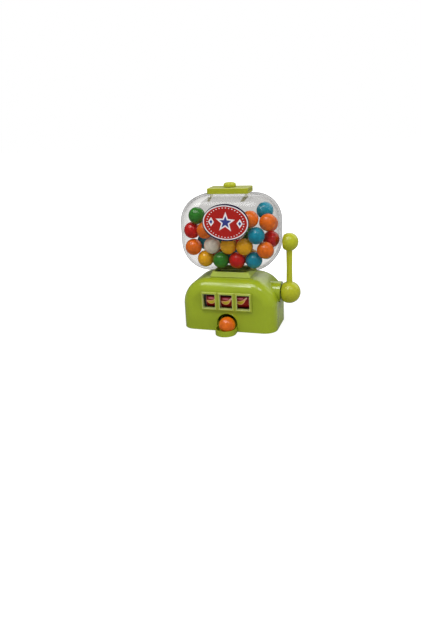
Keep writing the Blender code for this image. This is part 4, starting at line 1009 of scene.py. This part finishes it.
def gumball(name, centre, number):
    work = bmesh.new()
    bmesh.ops.create_uvsphere(work, u_segments=40, v_segments=24, radius=BALL_RADIUS)
    for vert in work.verts:
        way = vert.co.normalized()
        swell = math.sin(2.3 * way.x + number) * math.cos(1.9 * way.y - number)
        swell *= math.cos(2.1 * way.z + 2 * number)
        vert.co = way * BALL_RADIUS * (1.0 - UNEVEN * (1.0 - swell) / 2)
    bmesh.ops.rotate(work, matrix=Matrix.Rotation(BALL_SPIN * number, 3, SPIN_AXIS), verts=work.verts)
    bmesh.ops.translate(work, vec=centre, verts=work.verts)
    ball = piece_from(name, work)
    ball.data.shade_smooth()
    return ball


slot_of = {entry["node"]: entry["material_slot"] for entry in frame["record"]["subparts"]}
gum_nodes = sorted(name for name in nodes if "gumball" in name)
for number, name in enumerate(gum_nodes):
    low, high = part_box(name)
    centre = (Vector(low) + Vector(high)) / 2
    ball = gumball("smooth_" + name, centre, number)
    # The chute's ball takes the darkened orange, which is painted shade.
    shell = shaded_chute_finish if name == "chute_gumball" else gum_finish[slot_of[name]]
    dress(ball, shell, "machine", slot_of[name], name)
print("gumballs:", len(gum_nodes))

# %% [markdown]
# ## The oval label
#
# A thin printed oval sits on the globe's front: a dark blue edge, a white line and a red field.
# The field carries a plain design of its own: one star with a ring of beads and two lozenges.
# Each motif is a mask made from distances, which stays sharp at any size. A star is the part of
# a folded wedge that lies inside one straight line, and folding repeats it five times.

# %% Masks for the print
PRINT_SOFT = 0.012


def inside(distance, edge, soft):
    """1 inside an edge and 0 outside, with a soft step as wide as asked."""
    return between(distance, edge - soft, edge + soft, 1.0, 0.0)


def length_of(u, v):
    return (u * u + v * v) ** 0.5


def star_mask(u, v, outer, inner):
    """A star with five tips at the outer radius and five notches at the inner one."""
    angle = u.maths("ARCTAN2", u, v)
    half = math.pi / 5
    folded = angle.maths("PINGPONG", angle, half)
    radius = length_of(u, v)
    normal = (inner * math.sin(half), outer - inner * math.cos(half))
    scale = math.hypot(*normal)
    across = radius * folded.maths("COSINE", folded) * (normal[0] / scale)
    across = across + radius * folded.maths("SINE", folded) * (normal[1] / scale)
    return inside(across, outer * normal[0] / scale, PRINT_SOFT)


def lozenge_mask(u, v, centre, half_u, half_v, soft):
    return inside(abs(u - centre[0]) / half_u + abs(v - centre[1]) / half_v, 1.0, soft)


print("soft edge of the print:", PRINT_SOFT, "of the label's half size")

# %% The label's finish
plate_low, plate_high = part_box("oval_plate")
plate_centre = ((plate_low[0] + plate_high[0]) / 2, (plate_low[2] + plate_high[2]) / 2)
plate_half = ((plate_high[0] - plate_low[0]) / 2, (plate_high[2] - plate_low[2]) / 2)
NAVY = (0.006, 0.008, 0.045)
PAPER = (0.80, 0.79, 0.80)
FIELD_RED = (0.38, 0.008, 0.004)
PRINT_TURN = math.radians(3.5)
OVALS = (((0.970, 0.920), PAPER), ((0.925, 0.870), FIELD_RED))
INK_SPECK = (0.22, 0.02, 0.02)
FLAG_BLUE = (0.020, 0.045, 0.22)
STAR_RISE = 0.02
STARS = (((0.56, 0.235), PAPER), ((0.36, 0.150), FLAG_BLUE))
LOZENGE_ASIDE = 0.80
LOZENGES = (((0.17, 0.25, 0.05), PAPER), ((0.085, 0.125, 0.08), FLAG_BLUE))
BEADS = 36
BEAD_SPACING = 0.155
BEAD_RING = 0.790


def printed_label():
    finish, shader, place = new_finish("printed_label")
    x, _, z = separate(place)
    beside, above = x - plate_centre[0], z - plate_centre[1]
    u = (beside * math.cos(PRINT_TURN) - above * math.sin(PRINT_TURN)) / plate_half[0]
    v = (beside * math.sin(PRINT_TURN) + above * math.cos(PRINT_TURN)) / plate_half[1]
    wide_u = u * (plate_half[0] / plate_half[1])
    colour = NAVY
    for half, ink in OVALS:
        colour = mix_colours(inside(length_of(u / half[0], v / half[1]), 1.0, PRINT_SOFT), colour, ink)
    for radii, ink in STARS:
        colour = mix_colours(star_mask(wide_u, v - STAR_RISE, *radii), colour, ink)
    for side in (-1, 1):
        for shape, ink in LOZENGES:
            colour = mix_colours(lozenge_mask(wide_u, v, (side * LOZENGE_ASIDE, 0.0), *shape), colour, ink)
    turns = u.maths("ARCTAN2", u, v) * (BEADS / (2 * math.pi))
    along = turns.maths("PINGPONG", turns, 0.5)
    bead = inside(length_of(along * BEAD_SPACING, length_of(u, v) - BEAD_RING), 0.026, 0.008)
    speck = noise(place, 0.5, detail=3.0)
    feed(shader, {
        "Base Color": mix_colours(speck * 0.10, mix_colours(bead, colour, PAPER), INK_SPECK),
        "Roughness": 0.22 + speck * 0.08,
        "Normal": bumped(noise(place, 3.0, detail=2.0), 0.02, 0.3),
    })
    return finish


label_finish = printed_label()
print("label print:", label_finish.name)

# %% The label
outline = [
    (plate_centre[0] + plate_half[0] * math.cos(a), plate_centre[1] + plate_half[1] * math.sin(a))
    for a in np.linspace(0, 2 * math.pi, 97)[:-1]
]
label = upright_plate("oval_label", outline, plate_low[1], plate_high[1])
soften(label, 0.12 * MM, 2, 60)
polish(label, math.radians(50))
dress(label, label_finish, "machine", "label_red", "oval_plate")
label.data.materials.append(natural_moulding)
for face in label.data.polygons:
    face.material_index = 1 if face.normal.y > 0.5 else 0
print("label size:", [round(2 * half / MM, 1) for half in plate_half], "mm")

# %% [markdown]
# ## The reels
#
# Each reel is a hollow drum with a web and a hub, and a printed strip round its rim. The strip
# has five common fruit symbols on dark red. A point on the rim is described by how far it lies
# along the axle and how far round the drum, and each symbol is drawn with discs and ovals in
# those two lengths, in millimetres, so the print follows the curve of the drum by itself.

# %% The banana and its shapes
BANANA = (0.66, 0.50, 0.03)
BANANA_EDGE = (0.90, 0.46, 0.20)
BANANA_SHINE = (0.90, 0.52, 0.44)
# Pink for the painted highlight of the glossy drum above the banana.
PAINTED_GLINT = (0.85, 0.20, 0.28)


def disc(u, v, centre, radius, soft=0.12):
    return inside(length_of(u - centre[0], v - centre[1]), radius, soft)


def oval(u, v, centre, half, soft=0.05):
    return inside(length_of((u - centre[0]) / half[0], (v - centre[1]) / half[1]), 1.0, soft)


def banana_print(colour, u, v):
    """A fruit bent along a parabola, with a pale outline and a stem, and above it a painted highlight of
    the drum's gloss.
    """
    side = u + 2.2
    bow = v - side * side * 0.115 + 0.50
    across = length_of((u + 1.2) / 4.6, bow / 1.95)
    stem = oval(u - (v - 3.0) * 0.9, v, (2.7, 3.0), (1.15, 1.5))
    # A pink streak above the fruit: a painted highlight of the drum's gloss.
    colour = mix_colours(oval(u, v, (-1.6, 3.3), (2.9, 0.70), 0.25) * 0.9, colour, PAINTED_GLINT)
    colour = mix_colours(stem, colour, BANANA_SHINE)
    colour = mix_colours(inside(across, 1.0, 0.08), colour, BANANA_EDGE)
    return mix_colours(inside(across, 0.66, 0.10), colour, BANANA)


print("first symbol:", banana_print.__name__)

# %% The other fruit
LEAF = (0.010, 0.110, 0.030)
CHERRY = (0.60, 0.02, 0.05)
STALK = (0.15, 0.28, 0.02)
LEMON = (0.82, 0.66, 0.03)
PLUM = (0.13, 0.02, 0.24)
ORANGE = (0.85, 0.26, 0.01)


def cherries_print(colour, u, v):
    for middle, lean in ((-2.0, 0.55), (1.9, -0.35)):
        stalk = inside(abs(u - middle - (v + 1.4) * lean), 0.28, 0.1)
        colour = mix_colours(stalk * inside(v, 2.9, 0.1) * (1 - inside(v, -1.0, 0.1)), colour, STALK)
        colour = mix_colours(disc(u, v, (middle, -1.9), 1.75), colour, CHERRY)
        colour = mix_colours(disc(u, v, (middle - 0.5, -1.3), 0.42), colour, BANANA_SHINE)
    return mix_colours(oval(u, v, (1.9, 2.9), (1.9, 0.8)), colour, LEAF)


def ovals_print(colour, u, v, ovals, within=None):
    """Discs and ovals laid over each other, and cut off by a mask if one is given."""
    for middle, half, ink in ovals:
        mask = disc(u, v, middle, half) if isinstance(half, float) else oval(u, v, middle, half)
        colour = mix_colours(mask * within if within else mask, colour, ink)
    return colour


def lemon_print(colour, u, v):
    return ovals_print(colour, u, v, (
        ((0.0, 0.0), (3.6, 2.5), LEMON), ((-3.6, 0.0), 0.7, LEMON), ((3.6, 0.0), 0.7, LEMON),
        ((-1.0, 0.9), (1.3, 0.5), BANANA_SHINE),
    ))


def plum_print(colour, u, v):
    return ovals_print(colour, u, v, (
        ((0.0, -0.4), (2.7, 3.1), PLUM), ((1.4, 3.3), (3.2, 1.0), LEAF),
        ((-1.0, 0.7), (0.5, 1.0), BANANA_SHINE),
    ))


def melon_print(colour, u, v):
    rinds = (((0.0, 1.6), radius, ink) for radius, ink in ((4.0, LEAF), (3.4, PAPER), (3.0, ORANGE)))
    colour = ovals_print(colour, u, v, rinds, inside(v, 1.6, 0.1))
    return ovals_print(colour, u, v, [((seed, -0.1), (0.25, 0.45), NAVY) for seed in (-1.5, 0.0, 1.5)])


FRUIT_PRINTS = (banana_print, melon_print, cherries_print, lemon_print, plum_print)
print("symbols on a strip:", [fruit.__name__ for fruit in FRUIT_PRINTS])

# %% The printed strip
REEL_RADIUS = 9.328 * MM
SIGHT_DROP = math.radians(-11.0)
STRIP_RED = (0.240, 0.006, 0.006)
# Near-black between the symbols' red fields: painted shade for the top and bottom of each window.
STRIP_PAINTED_SHADE = (0.030, 0.003, 0.003)
STRIP_EDGE = (0.70, 0.36, 0.34)
UNSHADED_HALF = 4.9
EDGE_LINE = 0.35
SYMBOL_TURN = 2 * math.pi / len(FRUIT_PRINTS)


def reel_strip(name, middle_x, half_mm, axle, slip):
    finish, shader, place = new_finish(name)
    x, y, z = separate(place)
    u = (x - middle_x) / MM
    angle = y.maths("ARCTAN2", z - axle[1], axle[0] - y)
    sight = SIGHT_DROP + slip
    wrapped = angle.maths("WRAP", angle - sight, SYMBOL_TURN / 2, -SYMBOL_TURN / 2)
    red = mix_colours(noise(place, 1.5), STRIP_RED, shade_of(STRIP_RED, 1.3))
    # Outside each symbol's red field the strip turns near-black, which is painted shade.
    unshaded_field = inside(abs(wrapped * (REEL_RADIUS / MM)), UNSHADED_HALF, 0.6)
    colour = mix_colours(unshaded_field, STRIP_PAINTED_SHADE, red)
    for number, fruit in enumerate(FRUIT_PRINTS):
        ahead_by = angle.maths("WRAP", angle - (sight + number * SYMBOL_TURN), math.pi, -math.pi)
        colour = fruit(colour, u, ahead_by * (REEL_RADIUS / MM))
    feed(shader, {
        "Base Color": mix_colours(inside(abs(u), half_mm - EDGE_LINE, 0.08), STRIP_EDGE, colour),
        "Roughness": 0.24 + noise(place, 2.0) * 0.1,
        "Normal": bumped(noise(place, 0.6), 0.01, 0.4),
        "Specular IOR Level": 0.25,
    })
    return finish


print("a symbol has", round(SYMBOL_TURN * REEL_RADIUS / MM, 1), "mm of the strip")

# %% Making the reels
REEL_SLIPS = {"reel_left": 0.03, "reel_middle": 0.0, "reel_right": 0.10}
RIM_INSIDE = REEL_RADIUS - 1.3 * MM
LIP = 0.2 * MM
WEB, HUB, BORE = 0.7 * MM, 3.4 * MM, 1.8 * MM
reel_axle = (-11.922 * MM, 27.2 * MM)
for name, slip in REEL_SLIPS.items():
    low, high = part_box(name)
    middle_x, half = (low[0] + high[0]) / 2, (high[0] - low[0]) / 2
    profile = [
        (REEL_RADIUS - LIP, half), (REEL_RADIUS, half - LIP),
        (REEL_RADIUS, -half + LIP), (REEL_RADIUS - LIP, -half),
        (RIM_INSIDE, -half), (RIM_INSIDE, -WEB), (HUB, -WEB), (HUB, -half),
        (BORE, -half), (BORE, half), (HUB, half), (HUB, WEB), (RIM_INSIDE, WEB), (RIM_INSIDE, half),
    ]
    reel = spun("printed_" + name, profile, 96)
    reel.data.transform(Matrix.Translation((middle_x, *reel_axle)) @ Matrix.Rotation(math.pi / 2, 4, "Y"))
    polish(reel)
    strip = reel_strip(name + "_strip", middle_x, half / MM, reel_axle, slip)
    dress(reel, strip, "reels", "reel_red", name)
    reel.data.materials.append(natural_moulding)
    for face in reel.data.polygons:
        out = math.hypot(face.center.y - reel_axle[0], face.center.z - reel_axle[1])
        face.material_index = 0 if out > REEL_RADIUS - 0.6 * LIP else 1
print("reels printed:", list(REEL_SLIPS))

# %% [markdown]
# ## The lid
#
# The lid is a flat cover with its edges turned down, painted paler on its top as a painted sheen,
# and a small knob to lift it by. The knob has fine flutes. A turned dome gets them as a wave
# round its side that pulls the surface inwards, by its full depth at the foot and not at all near
# the top.

# %% The lid cover
cover_low, cover_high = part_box("lid_cover")
# Paler lime for the painted sheen on the lid's flat top.
LID_TOP_SHEEN = (0.450, 0.475, 0.105)


def lid_finish(top):
    """The lid's plastic, painted paler on its flat top: a painted sheen."""
    finish = moulded("lid_moulding", LID_LIME, 0.18)
    shader, dye = dye_of(finish)
    # Paler lime on the flat top: a painted sheen.
    top_sheen = between(separate(object_place(dye))[2], top - 0.4 * MM, top - 0.1 * MM)
    feed(shader, {"Base Color": mix_colours(top_sheen, dye, LID_TOP_SHEEN)})
    return finish


frame_box_low, frame_box_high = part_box("lid_frame")
cover_rect = (cover_low[0], cover_low[1], cover_high[0], cover_high[1])
lid = slab("lid_plate", cover_rect, cover_rect, cover_low[2], cover_high[2], 0.9 * MM, 0.55 * MM, 5)
under = frame_box_high[2] + CLEAR
carve(lid, block(
    "lid_channel", (cover_low[0] - WALL, frame_box_low[1] - CLEAR, cover_low[2] - WALL),
    (cover_high[0] + WALL, frame_box_high[1] + CLEAR, under),
))
polish(lid)
dress(lid, lid_finish(cover_high[2]), "lid", "olive_lime_plastic", "lid_cover")
print("lid's underside:", round(under / MM, 1), "mm up")

# %% The lid's knob
knob_low, knob_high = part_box("lid_knob")
KNOB_RADIUS = 5.3 * MM
KNOB_STEM = 1.5 * MM
KNOB_FLUTES = 20
FLUTE_DEPTH = 0.28 * MM
FLUTES_FROM, FULL_WITHIN = 0.78, 0.16
knob_foot = cover_high[2] + CLEAR
knob_rise = knob_high[2] - knob_foot
dome = [(KNOB_RADIUS * math.sin(a) ** 0.7, knob_foot + knob_rise * (0.42 + 0.58 * math.cos(a)))
        for a in np.linspace(0, math.pi / 2, 14)]
stem = [(KNOB_RADIUS, knob_foot + 0.1 * knob_rise), (KNOB_RADIUS - 0.2 * MM, knob_foot),
        (KNOB_STEM, knob_foot), (KNOB_STEM, knob_low[2]), (0.0, knob_low[2])]
knob = spun("fluted_knob", dome + stem, KNOB_FLUTES * 8)
for vert in knob.data.vertices:
    out = math.hypot(vert.co.x, vert.co.y)
    if out > FLUTES_FROM * KNOB_RADIUS:
        turn = math.atan2(vert.co.y, vert.co.x)
        wave = (0.5 - 0.5 * math.cos(KNOB_FLUTES * turn)) ** 2
        share = min(1.0, (out / KNOB_RADIUS - FLUTES_FROM) / FULL_WITHIN)
        pull = 1 - FLUTE_DEPTH * wave * share / out
        vert.co.x *= pull
        vert.co.y *= pull
polish(knob)
dress(knob, knob_moulding, "lid", "olive_lime_plastic", "lid_knob")
print("knob flutes:", KNOB_FLUTES)

# %% [markdown]
# ## The pull lever
#
# Hub, arm and knob are one moulding. Both balls are cut flat on the side towards the machine,
# and the arm is slightly waisted. Each is a turned form. The arm flares towards both of its
# ends, which gives the joins with the balls a small fillet.

# %% The lever
LEVER_X = 50.5 * MM
ARM_LENGTH = 44.5 * MM
HUB_RADIUS, HUB_FLAT = 9.6 * MM, 6.3 * MM
TOP_RADIUS, TOP_FLAT = 7.7 * MM, 5.0 * MM
ARM_RADIUS, ARM_WAIST = 2.7 * MM, 2.45 * MM
FLAT_ROUND = 0.8 * MM
FLARE_WIDTH = 0.9 * MM
FLARE_FROM, FLARE_OVER = 0.72, 0.28


def flat_ball(name, radius, flat, height):
    """A ball whose flat side faces -X, with a rounded rim round the flat."""
    edge = math.degrees(math.acos(flat / radius))
    cap = math.sin(math.radians(edge)) * radius
    outline = arc_points(radius, 0, 180 - edge - 6, 40)
    profile = [(y, -x) for x, y in outline]
    corner = [(cap - FLAT_ROUND * (1 - math.cos(a)) * 0.8, flat - FLAT_ROUND * 0.5 * (1 - math.sin(a)))
              for a in np.linspace(0.5, math.pi / 2, 5)]
    profile += corner + [(0.0, flat)]
    ball = spun(name, profile, 72)
    ball.data.transform(
        Matrix.Translation((LEVER_X, 0, LEVER_AXIS + height)) @ Matrix.Rotation(-math.pi / 2, 4, "Y")
    )
    return ball


pull_lever = flat_ball("pull_lever", HUB_RADIUS, HUB_FLAT, 0.0)
top_ball = flat_ball("lever_top", TOP_RADIUS, TOP_FLAT, ARM_LENGTH)
arm_low, arm_high = HUB_RADIUS - 2 * ARM_RADIUS, ARM_LENGTH - TOP_RADIUS / 2
arm_profile = [(0.0, arm_high)]
for share in np.linspace(1.0, 0.0, 30):
    bow = abs(2 * share - 1)
    flare = FLARE_WIDTH * max(0.0, (bow - FLARE_FROM) / FLARE_OVER) ** 3
    thick = ARM_WAIST + (ARM_RADIUS - ARM_WAIST) * bow + flare
    arm_profile.append((thick, arm_low + (arm_high - arm_low) * share))
arm_profile.append((0.0, arm_low))
arm = spun("lever_arm", arm_profile, 48)
arm.data.transform(Matrix.Translation((LEVER_X, 0, LEVER_AXIS)))
carve(pull_lever, arm, "UNION")
carve(pull_lever, top_ball, "UNION")
polish(pull_lever, math.radians(50))
dress(pull_lever, olive_moulding, "pull_lever", "olive_lime_plastic", "lever")
print("lever:", len(pull_lever.data.polygons), "faces")

# %% [markdown]
# ## The size
#
# The dressed model must be as big as the solids it stands for.
